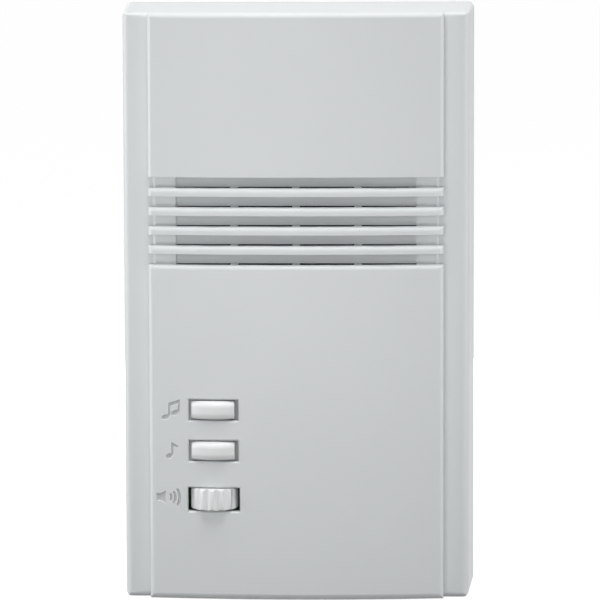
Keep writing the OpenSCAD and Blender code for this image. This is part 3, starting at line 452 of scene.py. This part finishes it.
gasket_foam = grained("open_cell_foam", "#2A2A2B", "#101011", 0.8, 0.30, 0.92)
cone_pulp = grained("pressed_paper_pulp", "#37332F", "#211F1D", 0.5, 0.08, 0.88, (1, 0.3, 0.3))
magnet_ferrite = grained("sintered_ferrite", "#333335", "#242426", 0.4, 0.04, 0.62)
can_sleeve = grained("shrunk_pvc_sleeve", "#1C2542", "#232D4C", 1.5, 0.02, 0.30)
lead_vinyl = grained("red_lead_vinyl", "#A3231C", "#8E1D18", 1.2, 0.02, 0.34)
aerial_vinyl = grained("black_lead_vinyl", "#1D1D1E", "#29292A", 1.2, 0.02, 0.36)
print("grained:", gasket_foam.name, cone_pulp.name, magnet_ferrite.name, can_sleeve.name, lead_vinyl.name,
      aerial_vinyl.name)

# %% [markdown]
# ## Winding, track and board
# Three finishes carry a pattern of their own. The voice coil is enamelled copper wire, turn beside turn,
# with painted highlight on the crests and painted shade between the turns.
# The volume track is brown paper laminate with a printed black carbon ring round the wheel's pin. The
# boards are glass laminate under green solder mask, and the copper lines below show as paler bars with a
# slight relief.

# %% Enamelled copper winding
WIRE_PITCH = 0.4    # the real wire is 0.15 mm, too fine to show
WIRE_DEPTH = 0.12

coil_copper, tree, output = new_material("enamelled_copper_wire")
place = add(tree, "ShaderNodeTexCoord").outputs["Object"]
turn = add(tree, "ShaderNodeTexWave", {"bands_direction": "Y"}, {"Scale": wave_scale(WIRE_PITCH)},
           {"Vector": place})
# Lighter crests and darker valleys between the turns are painted highlight and painted shade, following the
# bump.
tone = add(tree, "ShaderNodeMix", COLOUR_MIX, {MIX_A: linear("#6E3A1C"), MIX_B: linear("#C77A44")},
           {"Factor": turn.outputs["Fac"]})
bump = add(tree, "ShaderNodeBump", values={"Strength": 0.8, "Distance": WIRE_DEPTH * MM},
           links={"Height": turn.outputs["Fac"]})
shader = add(tree, "ShaderNodeBsdfPrincipled",
             values={"Metallic": 0.9, "Roughness": 0.28, "Coat Weight": 0.5, "Coat Roughness": 0.1},
             links={"Base Color": tone.outputs[MIX_OUT], "Normal": bump.outputs["Normal"]})
tree.links.new(shader.outputs[0], output.inputs["Surface"])
print(coil_copper.name, "turns every", WIRE_PITCH, "mm")

# %% Printed carbon track
TRACK_IN, TRACK_OUT = 4.0, 5.9
TRACK_DEPTH = 0.05
FIBRE_MM = 1.2

low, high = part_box("wheel_pin")
pin_x, pin_y = (low.x + high.x) / 2, (low.y + high.y) / 2
track_print, tree, output = new_material("carbon_print_on_paper_laminate")
place = add(tree, "ShaderNodeTexCoord").outputs["Object"]
centre = add(tree, "ShaderNodeMapping", values={"Location": (-pin_x, -pin_y, 0), "Scale": (1, 1, 0)},
             links={"Vector": place})
reach = add(tree, "ShaderNodeVectorMath", {"operation": "LENGTH"}, links={0: centre.outputs["Vector"]})
ring = add(tree, "ShaderNodeMath", {"operation": "COMPARE"},
           {1: (TRACK_IN + TRACK_OUT) / 2 * MM, 2: (TRACK_OUT - TRACK_IN) / 2 * MM},
           {0: reach.outputs["Value"]})
fibre = add(tree, "ShaderNodeTexNoise", values={"Scale": per_metre(FIBRE_MM), "Detail": 4.0},
            links={"Vector": place})
paper = add(tree, "ShaderNodeMix", COLOUR_MIX, {MIX_A: linear("#8D6539"), MIX_B: linear("#7A5530")},
            {"Factor": fibre.outputs["Fac"]})
tone = add(tree, "ShaderNodeMix", COLOUR_MIX, {MIX_B: linear("#1B1A1A")},
           {"Factor": ring.outputs[0], MIX_A: paper.outputs[MIX_OUT]})
bump = add(tree, "ShaderNodeBump", values={"Strength": 0.4, "Distance": TRACK_DEPTH * MM},
           links={"Height": ring.outputs[0]})
shader = add(tree, "ShaderNodeBsdfPrincipled", values={"Roughness": 0.55},
             links={"Base Color": tone.outputs[MIX_OUT], "Normal": bump.outputs["Normal"]})
tree.links.new(shader.outputs[0], output.inputs["Surface"])
print(track_print.name, "round", round(pin_x / MM, 2), round(pin_y / MM, 2))

# %% Green laminate
COPPER_PITCH = 2.5
COPPER_DEPTH = 0.05

board_mask, tree, output = new_material("green_solder_mask")
place = add(tree, "ShaderNodeTexCoord").outputs["Object"]
flat = add(tree, "ShaderNodeMapping", values={"Rotation": (math.radians(-90), 0, 0)},
           links={"Vector": place})
lines = add(tree, "ShaderNodeTexBrick", {"offset": 0.35},
            {"Scale": per_metre(COPPER_PITCH), "Mortar Size": 0.16, "Mortar Smooth": 0.1,
             "Brick Width": 3.4, "Row Height": 0.9, "Color1": linear("#175C33"),
             "Color2": linear("#1B6238"), "Mortar": linear("#2E8450")},
            {"Vector": flat.outputs["Vector"]})
bump = add(tree, "ShaderNodeBump", values={"Strength": 0.35, "Distance": COPPER_DEPTH * MM},
           links={"Height": lines.outputs["Fac"]})
shader = add(tree, "ShaderNodeBsdfPrincipled",
             values={"Roughness": 0.32, "Coat Weight": 0.4, "Coat Roughness": 0.15},
             links={"Base Color": lines.outputs["Color"], "Normal": bump.outputs["Normal"]})
tree.links.new(shader.outputs[0], output.inputs["Surface"])
print(board_mask.name, "lines every", COPPER_PITCH, "mm")

# %% [markdown]
# ## A copy that can be worked
# A CAD node's mesh is never changed. Where the look needs more than the solid has, its mesh is copied,
# its loose triangles are merged, flat areas are cleaned to single faces, and the copy takes the node's
# place. The node stays in the motion model.

# %% Copy a node
MERGE_MM = 0.0005
FLAT_ANGLE = math.radians(0.5)
SMOOTH_ANGLE = math.radians(32)
FACE_WEIGHT = 80


def copy_of(node):
    """Merged copy of a CAD node's mesh in a new object."""
    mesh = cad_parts[node].data.copy()
    piece = bpy.data.objects.new(node + "_copy", mesh)
    bpy.context.scene.collection.objects.link(piece)
    pick(piece)
    if mesh.has_custom_normals:
        bpy.ops.mesh.customdata_custom_splitnormals_clear()
    bpy.ops.object.mode_set(mode="EDIT")
    bpy.ops.mesh.select_all(action="SELECT")
    bpy.ops.mesh.remove_doubles(threshold=MERGE_MM * MM)
    bpy.ops.mesh.dissolve_limited(angle_limit=FLAT_ANGLE)
    bpy.ops.object.mode_set(mode="OBJECT")
    return piece


def smooth(piece):
    """Smooth shading across soft edges only, led by the larger faces."""
    pick(piece)
    bpy.ops.object.shade_smooth_by_angle(angle=SMOOTH_ANGLE)
    finish_modifier(piece, "WEIGHTED_NORMAL", keep_sharp=True, weight=FACE_WEIGHT)


def coat(piece, material):
    """Gives a piece one material in place of those it came with."""
    piece.data.materials.clear()
    piece.data.materials.append(material)


# %% [markdown]
# ## Three signs
# Left of the controls the mould sank three small signs into the panel: two joined notes for one tune, a
# single note for the other, and a loudspeaker with sound waves for the volume wheel. They are bare plastic
# with sloping walls, and the floor is left rough by the spark erosion; its darker colour is painted shade. A
# font's characters would be quicker but have other shapes, so each sign is a few outlines, ovals and arcs.
# They become cutters that stick out of the bowed face, turned to its slope and narrower towards the floor.

# %% Sign cutters
SIGN_DEPTH = 0.35
SIGN_SLOPE = 0.20
SIGN_PROUD = 1.5
OVAL_POINTS = 40
ARC_STEPS = 16

# The sunk faces' rougher grain is the eroded finish; their darker colour is painted shade.
sign_painted_shade_abs = moulded_abs("sunk_sign_painted_shade_abs", "#CACDCE", "#C5C8C9", 0.62, 0.25)


def sign_bar(points):
    """Cutter from an outline of (x, z) points about the sign's middle, narrower towards its floor."""
    corners = [(x, -SIGN_PROUD, z) for x, z in points]
    mesh = bpy.data.meshes.new("bar")
    mesh.from_pydata(corners, [], [list(range(len(corners)))])
    bar = bpy.data.objects.new("bar", mesh)
    bar.data.materials.append(sign_painted_shade_abs)
    bpy.context.scene.collection.objects.link(bar)
    pick(bar)
    bpy.ops.object.mode_set(mode="EDIT")
    bpy.ops.mesh.select_mode(type="FACE")
    bpy.ops.mesh.select_all(action="SELECT")
    bpy.ops.mesh.extrude_region_move(TRANSFORM_OT_translate={"value": (0, SIGN_PROUD, 0)})
    bpy.ops.mesh.inset(thickness=SIGN_SLOPE, depth=0)
    bpy.ops.transform.translate(value=(0, SIGN_DEPTH, 0))
    bpy.ops.mesh.select_all(action="SELECT")
    bpy.ops.mesh.normals_make_consistent(inside=False)
    bpy.ops.object.mode_set(mode="OBJECT")
    return bar


def sign_disc(x, z, width, height, turn):
    """Oval cutter, turned by degrees."""
    tilt = math.radians(turn)
    outline = []
    for i in range(OVAL_POINTS):
        angle = 2 * math.pi * i / OVAL_POINTS
        along, across = width / 2 * math.cos(angle), height / 2 * math.sin(angle)
        outline.append((x + along * math.cos(tilt) - across * math.sin(tilt),
                        z + along * math.sin(tilt) + across * math.cos(tilt)))
    return sign_bar(outline)


def sign_arc(x, z, radius, width, half_turn):
    """Cutter along an arc that bulges to the right, with square ends."""
    angles = [math.radians(half_turn) * (2 * i / ARC_STEPS - 1) for i in range(ARC_STEPS + 1)]
    outer, inner = [[(x + rim * math.cos(angle), z + rim * math.sin(angle)) for angle in angles]
                    for rim in (radius + width / 2, radius - width / 2)]
    return sign_bar(outer + inner[::-1])


# %% Signs on the bowed face
BOW_RADIUS = 291.65     # of the solid's bowed face, about an upright axis
BOW_FRONT = -40.26      # where that face reaches farthest forward
STROKE_STEP = 0.008


def on_panel(x):
    """Depth of the bowed face and its turn about Z, at a sideways place in millimetres."""
    inward = math.sqrt(BOW_RADIUS ** 2 - x ** 2)
    return BOW_FRONT + BOW_RADIUS - inward, math.atan2(x, inward)


def place_sign(parts, x, z):
    """Sets a sign's cutters on the bowed face, each a hair deeper than the one before."""
    depth, turn = on_panel(x)
    for i, part in enumerate(parts):
        pick(part)
        part.rotation_euler = (0, 0, turn)
        part.location = Vector((x, depth + i * STROKE_STEP, z)) * MM
        part.scale = (MM, MM, MM)
        bpy.ops.object.transform_apply(location=True, rotation=True, scale=True)
    return parts


# %% Two joined notes, one note, a loudspeaker
SIGN_ROWS = (-27.53, -38.65, -51.05)

two_notes = place_sign([
    sign_disc(-1.36, -1.89, 2.3, 1.5, 22),
    sign_disc(1.36, -0.65, 2.3, 1.5, 22),
    sign_bar([(-0.62, -1.75), (-0.06, -1.75), (-0.06, 0.98), (2.02, 1.62), (2.02, -0.55), (2.58, -0.55),
              (2.58, 2.98), (-0.62, 1.98)]),
], -33.60, SIGN_ROWS[0])
one_note = place_sign([
    sign_disc(-0.73, -1.25, 1.95, 1.45, 25),
    sign_bar([(-0.16, -1.1), (0.42, -1.1), (0.42, 1.2), (0.9, 1.1), (1.6, 1.02), (1.75, 1.55), (0.8, 2.05),
              (0.1, 2.50), (-0.16, 2.44)]),
], -33.25, SIGN_ROWS[1])
loudspeaker = place_sign([
    sign_bar([(-3.25, -1.0), (-2.0, -1.0), (-0.72, -1.75), (-0.72, 1.83), (-2.0, 1.15), (-3.25, 1.15)]),
    sign_arc(-1.45, 0.03, 2.2, 0.62, 28),
    sign_arc(-0.55, 0.03, 2.45, 0.66, 40),
    sign_arc(-1.35, 0.03, 4.4, 0.70, 32),
], -34.28, SIGN_ROWS[2])
print("strokes:", [len(sign) for sign in (two_notes, one_note, loudspeaker)])

# %% [markdown]
# ## A true bow
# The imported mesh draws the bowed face, and the roundings along its edges and ribs, with strips about a
# centimetre wide. Light that grazes them would show the strips, and a cut in so wide a strip pulls the
# shading out of true. So they are all cut into narrow upright strips. A new point starts on a chord, a
# little inside the arc, and is moved out: along the panel's top and bottom edge to the rounding's own arc,
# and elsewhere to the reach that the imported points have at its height.

# %% Reach of the bow
BOW_HALF = 36.0
BOW_ENDS = 3.0
BOW_DEEP = 2.05
FORWARD_LIMIT = 0.2
TINY = 0.002
EDGE_TOP = 78.65
EDGE_ROUND = 2.0


def bow_reach(point):
    """Distance of a point from the bow's axis, in millimetres."""
    return math.hypot(point.x / MM, point.y / MM - BOW_FRONT - BOW_RADIUS)


def is_bow(middle, normal):
    """True for a face of the bowed front or of a rounding along it."""
    return (normal.y < FORWARD_LIMIT and abs(middle.x) < (BOW_HALF + BOW_ENDS) * MM
            and bow_reach(middle) > BOW_RADIUS - BOW_DEEP)


def edge_reach(height, reach):
    """Reach of the rounding along the panel's top and bottom edge, or None away from it."""
    rise = abs(height) - EDGE_TOP + EDGE_ROUND
    if 0 < rise < EDGE_ROUND - TINY and reach > BOW_RADIUS - EDGE_ROUND:
        return BOW_RADIUS - EDGE_ROUND + math.sqrt(EDGE_ROUND ** 2 - rise ** 2)
    return None


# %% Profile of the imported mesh
PROFILE_STEP = 0.6
CHORD_SAG = 0.12


def packed_profile(mesh):
    """Short edges of a mesh as height and reach of both ends, in bins of a millimetre of height."""
    bins = {}
    for edge in mesh.edges:
        ends = sorted((mesh.vertices[i].co.z / MM, bow_reach(mesh.vertices[i].co)) for i in edge.vertices)
        rise = ends[1][0] - ends[0][0]
        flat_side = rise < TINY and abs(ends[1][1] - ends[0][1]) > TINY
        if rise < PROFILE_STEP and not flat_side and ends[0][1] > BOW_RADIUS - BOW_DEEP:
            line = tuple(round(value, 3) for end in ends for value in end)
            for height in range(math.floor(ends[0][0]), math.floor(ends[1][0]) + 1):
                bins.setdefault(height, set()).add(line)
    return bins


def profile_reach(bins, height, reach):
    """Reach of the profile just outside a point on a chord, or None where there is none."""
    found = []
    for low_z, low_reach, high_z, high_reach in bins.get(math.floor(height), ()):
        if low_z - TINY <= height <= high_z + TINY:
            share = (height - low_z) / max(high_z - low_z, TINY)
            out = low_reach + min(max(share, 0), 1) * (high_reach - low_reach)
            if -TINY < out - reach < CHORD_SAG:
                found.append(out)
    if not found and BOW_RADIUS - reach < CHORD_SAG / 2:
        found.append(BOW_RADIUS)
    return min(found, default=None)


# %% [markdown]
# ## Strips
# Bisect cuts only what is selected and shown, so the rest of the cover is hidden first. Upright cuts make
# the strips. A level cut through the middle of each sign follows, because the Boolean can leave a plug
# where a cutter lies wholly inside one face.

# %% Cut the bow into strips
STRIP_MM = 1.5
SLIVER_MM = 0.03
PAIR_ANGLE = math.radians(20)
PAIR_SHAPE = math.radians(90)

cover = copy_of("front_cover")
coat(cover, case_abs)
choose_faces(cover, is_bow)
bpy.ops.mesh.tris_convert_to_quads(face_threshold=PAIR_ANGLE, shape_threshold=PAIR_SHAPE)
bpy.ops.object.mode_set(mode="OBJECT")
profile = packed_profile(cover.data)
bpy.ops.object.mode_set(mode="EDIT")
bpy.ops.mesh.hide(unselected=True)
cuts = int(2 * BOW_HALF / STRIP_MM)
for i in range(cuts + 1):
    bpy.ops.mesh.select_all(action="SELECT")
    bpy.ops.mesh.bisect(plane_co=((-BOW_HALF + i * STRIP_MM) * MM, 0, 0), plane_no=(1, 0, 0))
for row in SIGN_ROWS:
    bpy.ops.mesh.select_all(action="SELECT")
    bpy.ops.mesh.bisect(plane_co=(0, 0, row * MM), plane_no=(0, 0, 1))
bpy.ops.mesh.select_all(action="SELECT")
bpy.ops.mesh.dissolve_degenerate(threshold=SLIVER_MM * MM)
bpy.ops.mesh.reveal(select=False)
bpy.ops.object.mode_set(mode="OBJECT")
print("bow:", cuts + 1, "upright cuts,", len(cover.data.polygons), "faces")

# %% Lay the points on the arc
moved = 0
for vertex in cover.data.vertices:
    reach = bow_reach(vertex.co)
    aside = abs(vertex.co.x) / MM
    if reach > BOW_RADIUS - BOW_DEEP and aside < BOW_HALF + BOW_ENDS:
        height = vertex.co.z / MM
        out = edge_reach(height, reach) if aside < BOW_HALF + TINY else None
        out = out or profile_reach(profile, height, reach)
        if out is not None and abs(out - reach) > TINY:
            vertex.co.y = (BOW_FRONT + BOW_RADIUS - math.sqrt(out ** 2 - aside ** 2)) * MM
            moved += 1
print(moved, "points laid on the arc")

# %% [markdown]
# ## Sinking the signs
# Each stroke is cut by itself, because strokes joined into one cutter left raised spots where they cross.
# The Boolean leaves a few flaps of no width, whose edges have a face on one side only, and these are
# deleted. The cut faces take the cutter's rougher finish, with a darker colour that is painted shade. The
# walls that face up go back to the case's finish, so that they catch the light, and those that face down
# keep the painted shade.

# %% Cut the signs
LIT_SLOPE = 0.3

for stroke in two_notes + one_note + loudspeaker:
    finish_modifier(cover, "BOOLEAN", operation="DIFFERENCE", solver="EXACT", object=stroke,
                    material_mode="TRANSFER")
    bpy.data.objects.remove(stroke)
bpy.ops.object.mode_set(mode="EDIT")
bpy.ops.mesh.select_mode(type="EDGE")
bpy.ops.mesh.select_all(action="DESELECT")
bpy.ops.mesh.select_non_manifold(use_wire=False, use_multi_face=False, use_non_contiguous=False,
                                 use_verts=False)
bpy.ops.mesh.delete(type="EDGE")
bpy.ops.object.mode_set(mode="OBJECT")
# Walls facing up get the case colour back; floors and walls facing down keep the painted shade.
rough_painted_shade_slot = [slot.material for slot in cover.material_slots].index(sign_painted_shade_abs)
for face in cover.data.polygons:
    if face.material_index == rough_painted_shade_slot and face.normal.z > LIT_SLOPE:
        face.material_index = 0
print(sum(face.material_index == rough_painted_shade_slot for face in cover.data.polygons), "sunk faces left rough")
smooth(cover)
settle(cover, "cover_moulding", "case", "case_plastic", "front_cover")

# %% [markdown]
# ## Normals of the roundings
# Where a rounding ends at a slit or at a corner of the panel, its faces are long and thin, and the shading
# that Blender works out from them is patchy. The true normal is easy to find: how far a point lies below the
# bow tells how far the rounding has turned there. Those normals are written over the ones that Blender made,
# on the lower lip of each groove and along the panel's top and bottom edge.

# %% True normals
LIPS = 5
LIP_TOP = 32.0
LIP_PITCH = 5.12
LIP_ROUND = 1.4
LIP_LIKENESS = 0.8      # of a face's normal and the true one, at least, because other faces lie close by
ANY_LIKENESS = -1
ROUND_ENDS = 2.0
UP, DOWN = 1, -1

roundings = [(LIP_TOP - LIP_PITCH * i, LIP_ROUND, UP, LIP_LIKENESS) for i in range(LIPS)]
roundings += [(way * EDGE_TOP, EDGE_ROUND, way, ANY_LIKENESS) for way in (UP, DOWN)]


def rounding_normal(point, radius, way):
    """Normal of a rounding, from a point's depth below the bow."""
    depth = min(max(BOW_RADIUS - bow_reach(point), 0), radius)
    tilt = math.acos(1 - depth / radius)
    out = Vector((point.x, point.y - (BOW_FRONT + BOW_RADIUS) * MM, 0)).normalized()
    return out * math.cos(tilt) + Vector((0, 0, way * math.sin(tilt)))


def rounding_of(middle, normal):
    """Radius and way of the rounding that a face lies on, or None."""
    for edge, radius, way, alike in roundings:
        inside = way * (edge - middle.z / MM)
        if (-TINY < inside < radius and abs(middle.x) < (BOW_HALF + ROUND_ENDS) * MM
                and BOW_RADIUS - bow_reach(middle) < radius + TINY
                and normal.dot(rounding_normal(middle, radius, way)) > alike):
            return radius, way
    return None


mesh = cover.data
normals = [corner.vector.copy() for corner in mesh.corner_normals]
turned = 0
for face in mesh.polygons:
    rounding = rounding_of(face.center, face.normal)
    if rounding:
        for loop in face.loop_indices:
            normals[loop] = rounding_normal(mesh.vertices[mesh.loops[loop].vertex_index].co, *rounding)
            turned += 1
mesh.normals_split_custom_set(normals)
print(turned, "corner normals set on", len(roundings), "roundings")

# %% [markdown]
# ## Buttons and thumbwheel
# The caps and the wheel are whiter than the case. The solids have the crown, the round edges and the ridges.
# The caps' copies only lose their last knife edges with a small bevel, and the wheel's is shaded smooth.

# %% Controls
CAP_BEVEL = 0.22
BEVEL_STEPS = 3
SHARP_ANGLE = math.radians(40)


def soften(piece, width):
    """Bevels the sharp edges by a width in millimetres."""
    finish_modifier(piece, "BEVEL", width=width * MM, segments=BEVEL_STEPS, limit_method="ANGLE",
                    angle_limit=SHARP_ANGLE, use_clamp_overlap=True, harden_normals=False)


def soft_copy(node, name, body, slot, material, width=0):
    """Copy of a node, its sharp edges rounded where a width is given, which takes the node's place."""
    piece = copy_of(node)
    if width:
        soften(piece, width)
    smooth(piece)
    coat(piece, material)
    settle(piece, name, body, slot, node)
    return piece


for node, body in (("tune_button_upper", "upper_button"), ("tune_button_lower", "lower_button")):
    soft_copy(node, node + "_cap", body, "button_plastic", button_abs, CAP_BEVEL)
soft_copy("volume_wheel", "thumbwheel", "wheel", "wheel_plastic", wheel_abs)

# %% [markdown]
# ## The back, the battery door and the screws
# These mouldings are right as solids, but a moulded edge is never a knife edge, and a rolled screw head is
# rounded all over. A narrow bevel on their copies gives the thin bright line that real edges show.

# %% Back plate, door and screws
EDGE_BEVEL = 0.25
HEAD_BEVEL = 0.12

soft_copy("rear_housing", "back_moulding", "case", "case_plastic", case_abs, EDGE_BEVEL)
soft_copy("battery_door", "door_moulding", "door", "case_plastic", case_abs, EDGE_BEVEL)
soft_copy("cover_screws", "case_screws", "case", "screw_steel", zinc_steel, HEAD_BEVEL)

# %% [markdown]
# ## Grille cloth and gasket
# A round dust cloth is glued behind the slits and makes them black. It is a plain weave, so it starts as a
# grid with one point for each crossing of threads. The points go forward and back by turns, the squares
# outside the circle are deleted, and Solidify gives the cloth its thickness. The foam ring behind the cloth
# has edges that bulge a little where the loudspeaker presses on it.

# %% Grille cloth
THREAD_MM = 1.0     # the real threads are 0.4 mm apart, too fine to show
THREAD_LIFT = 0.08
THREAD_THICK = 0.2

low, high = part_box("grille_cloth")
cloth_middle = (low + high) / 2
cloth_radius = (high.x - low.x) / 2
threads = 2 * round(cloth_radius / (THREAD_MM * MM))
bpy.ops.object.select_all(action="DESELECT")
bpy.ops.mesh.primitive_grid_add(x_subdivisions=threads, y_subdivisions=threads, size=2 * cloth_radius,
                                location=cloth_middle, rotation=(math.radians(90), 0, 0))
scrim = bpy.context.object
bpy.ops.object.transform_apply(location=True, rotation=True, scale=True)
for vertex in scrim.data.vertices:
    over = (round(vertex.co.x / (THREAD_MM * MM)) + round(vertex.co.z / (THREAD_MM * MM))) % 2
    vertex.co.y += (2 * over - 1) * THREAD_LIFT * MM


def outside_circle(middle, normal):
    """True for a square of the grid that reaches past the cloth's round edge."""
    return math.hypot(middle.x - cloth_middle.x, middle.z - cloth_middle.z) > cloth_radius - THREAD_MM * MM


choose_faces(scrim, outside_circle)
bpy.ops.mesh.delete(type="FACE")
bpy.ops.object.mode_set(mode="OBJECT")
finish_modifier(scrim, "SOLIDIFY", thickness=THREAD_THICK * MM, offset=0)
smooth(scrim)
scrim.data.materials.append(grille_weave)
settle(scrim, "grille_scrim", "case", "grille_fabric", "grille_cloth")

# %% Foam gasket
FOAM_BULGE = 0.3

gasket = soft_copy("speaker_gasket", "gasket_ring", "case", "gasket_foam", gasket_foam, FOAM_BULGE)

# %% [markdown]
# ## The dry cells
# A cell is a steel can in a printed film, dark with a pale band towards the positive end. The film is
# shrunk over both ends and leaves bare steel inside its lip. The positive end has a raised nub, and the
# negative end is a shallow dish. Each cell starts as a cylinder in the place that its solid holds, and its
# two ends are inset and pushed in or drawn out. A bisect then gives the band its edge.

# %% Cell film and can
CELL_SIDES = 72
NUB_RISE = 1.2
NUB_RADIUS = 2.7
WRAP_LIP = 0.9
DISH_DEPTH = 0.35
END_FACING = 0.9

cell_film = grained("printed_cell_film", "#33465A", "#36495D", 1.5, 0.01, 0.30)
cell_band = grained("pale_cell_film", "#C7CCD0", "#C3C8CC", 1.5, 0.01, 0.30)


def push_along(distance):
    """Extrudes the selected faces along X by a distance in millimetres."""
    bpy.ops.mesh.extrude_region_move(TRANSFORM_OT_translate={"value": (distance * MM, 0, 0)})


def model_cell(low, high, plus):
    """Cell between two corners, its nub towards +X or -X."""
    middle = (low + high) / 2
    radius = (high.z - low.z) / 2
    length = high.x - low.x - NUB_RISE * MM
    bpy.ops.object.select_all(action="DESELECT")
    bpy.ops.mesh.primitive_cylinder_add(vertices=CELL_SIDES, radius=radius, depth=length,
                                        location=middle - Vector((plus * NUB_RISE * MM / 2, 0, 0)),
                                        rotation=(0, math.radians(90), 0))
    cell = bpy.context.object
    bpy.ops.object.transform_apply(location=True, rotation=True, scale=True)
    choose_faces(cell, lambda place, normal: normal.x * plus > END_FACING)
    bpy.ops.mesh.inset(thickness=WRAP_LIP * MM)
    push_along(-plus * DISH_DEPTH)
    bpy.ops.mesh.inset(thickness=radius - (WRAP_LIP + NUB_RADIUS) * MM)
    push_along(plus * (DISH_DEPTH + NUB_RISE))
    choose_faces(cell, lambda place, normal: normal.x * plus < -END_FACING)
    bpy.ops.mesh.inset(thickness=WRAP_LIP * MM)
    push_along(plus * DISH_DEPTH)
    bpy.ops.object.mode_set(mode="OBJECT")
    return cell, middle, radius, length


# %% Three cells
CELL_BEVEL = 0.35
BAND_SHARE = 0.3
END_SLICE = 0.1
NUB_LOWER = 1.0     # a nub's rim lies at least this far inside the can's
FILM, BAND, BARE = 0, 1, 2

solids = copy_of("batteries")
bpy.ops.object.mode_set(mode="EDIT")
bpy.ops.mesh.select_all(action="SELECT")
bpy.ops.mesh.separate(type="LOOSE")
bpy.ops.object.mode_set(mode="OBJECT")
solids = sorted(bpy.context.selected_objects, key=lambda solid: -solid.data.vertices[0].co.z)
for i, solid in enumerate(solids):
    points = [vertex.co.copy() for vertex in solid.data.vertices]
    low = Vector([min(point[axis] for point in points) for axis in range(3)])
    high = Vector([max(point[axis] for point in points) for axis in range(3)])
    right_end = max(point.z for point in points if point.x > high.x - END_SLICE * MM)
    plus = 1 if right_end < high.z - NUB_LOWER * MM else -1
    cell, middle, radius, length = model_cell(low, high, plus)
    band_from = middle.x + plus * length * (0.5 - BAND_SHARE)
    bpy.ops.object.mode_set(mode="EDIT")
    bpy.ops.mesh.select_all(action="SELECT")
    bpy.ops.mesh.bisect(plane_co=(band_from, 0, 0), plane_no=(1, 0, 0))
    bpy.ops.object.mode_set(mode="OBJECT")
    soften(cell, CELL_BEVEL)
    smooth(cell)
    for material in (cell_film, cell_band, nickel_steel):
        cell.data.materials.append(material)
    for face in cell.data.polygons:
        off = math.hypot(face.center.y - middle.y, face.center.z - middle.z)
        wrap = BAND if (face.center.x - band_from) * plus > 0 else FILM
        face.material_index = BARE if off < radius - WRAP_LIP * MM else wrap
    settle(cell, "dry_cell_%d" % (i + 1), "case", "cell_wrap", *(["batteries"] if i == 0 else []))
    bpy.data.objects.remove(solid)

# %% [markdown]
# ## Finishes for the rest
# The other pieces are right as they are. Each CAD node keeps its mesh and takes its finish in its slots.

# %% Dress the nodes


def dress(material, *names):
    """Puts a material in every slot of some CAD nodes."""
    for name in names:
        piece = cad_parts[name]
        if not piece.material_slots:
            piece.data.materials.append(material)
        for slot in piece.material_slots:
            slot.material = material
    print(material.name, "on", ", ".join(names))


dress(black_abs, "switch_plunger_upper", "switch_plunger_lower", "switch_bodies", "melody_chip")
dress(zinc_steel, "speaker_screws", "board_screws", "wheel_pin")
dress(nickel_steel, "battery_springs", "battery_contacts")
dress(sheet_steel, "speaker_basket", "speaker_top_plate", "speaker_yoke", "crystal")
dress(tag_brass, "wheel_wiper", "speaker_terminals")
dress(track_print, "volume_track")
dress(roll_weave, "speaker_surround")
dress(spider_weave, "speaker_spider")
dress(cone_pulp, "speaker_cone", "dust_cap")
dress(coil_copper, "voice_coil")
dress(magnet_ferrite, "speaker_magnet")
dress(board_mask, "main_board", "rf_receiver")
dress(can_sleeve, "capacitors")
dress(lead_vinyl, "speaker_leads", "battery_leads")
dress(aerial_vinyl, "antenna_wire")

# %% [markdown]
# ## Size
# The dressed model must not outgrow the solids, so its box is printed, as the CAD box was after loading.

# %% Finish
low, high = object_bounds()
print("visual box in mm:", [round(x / MM, 2) for x in (*low, *high)])
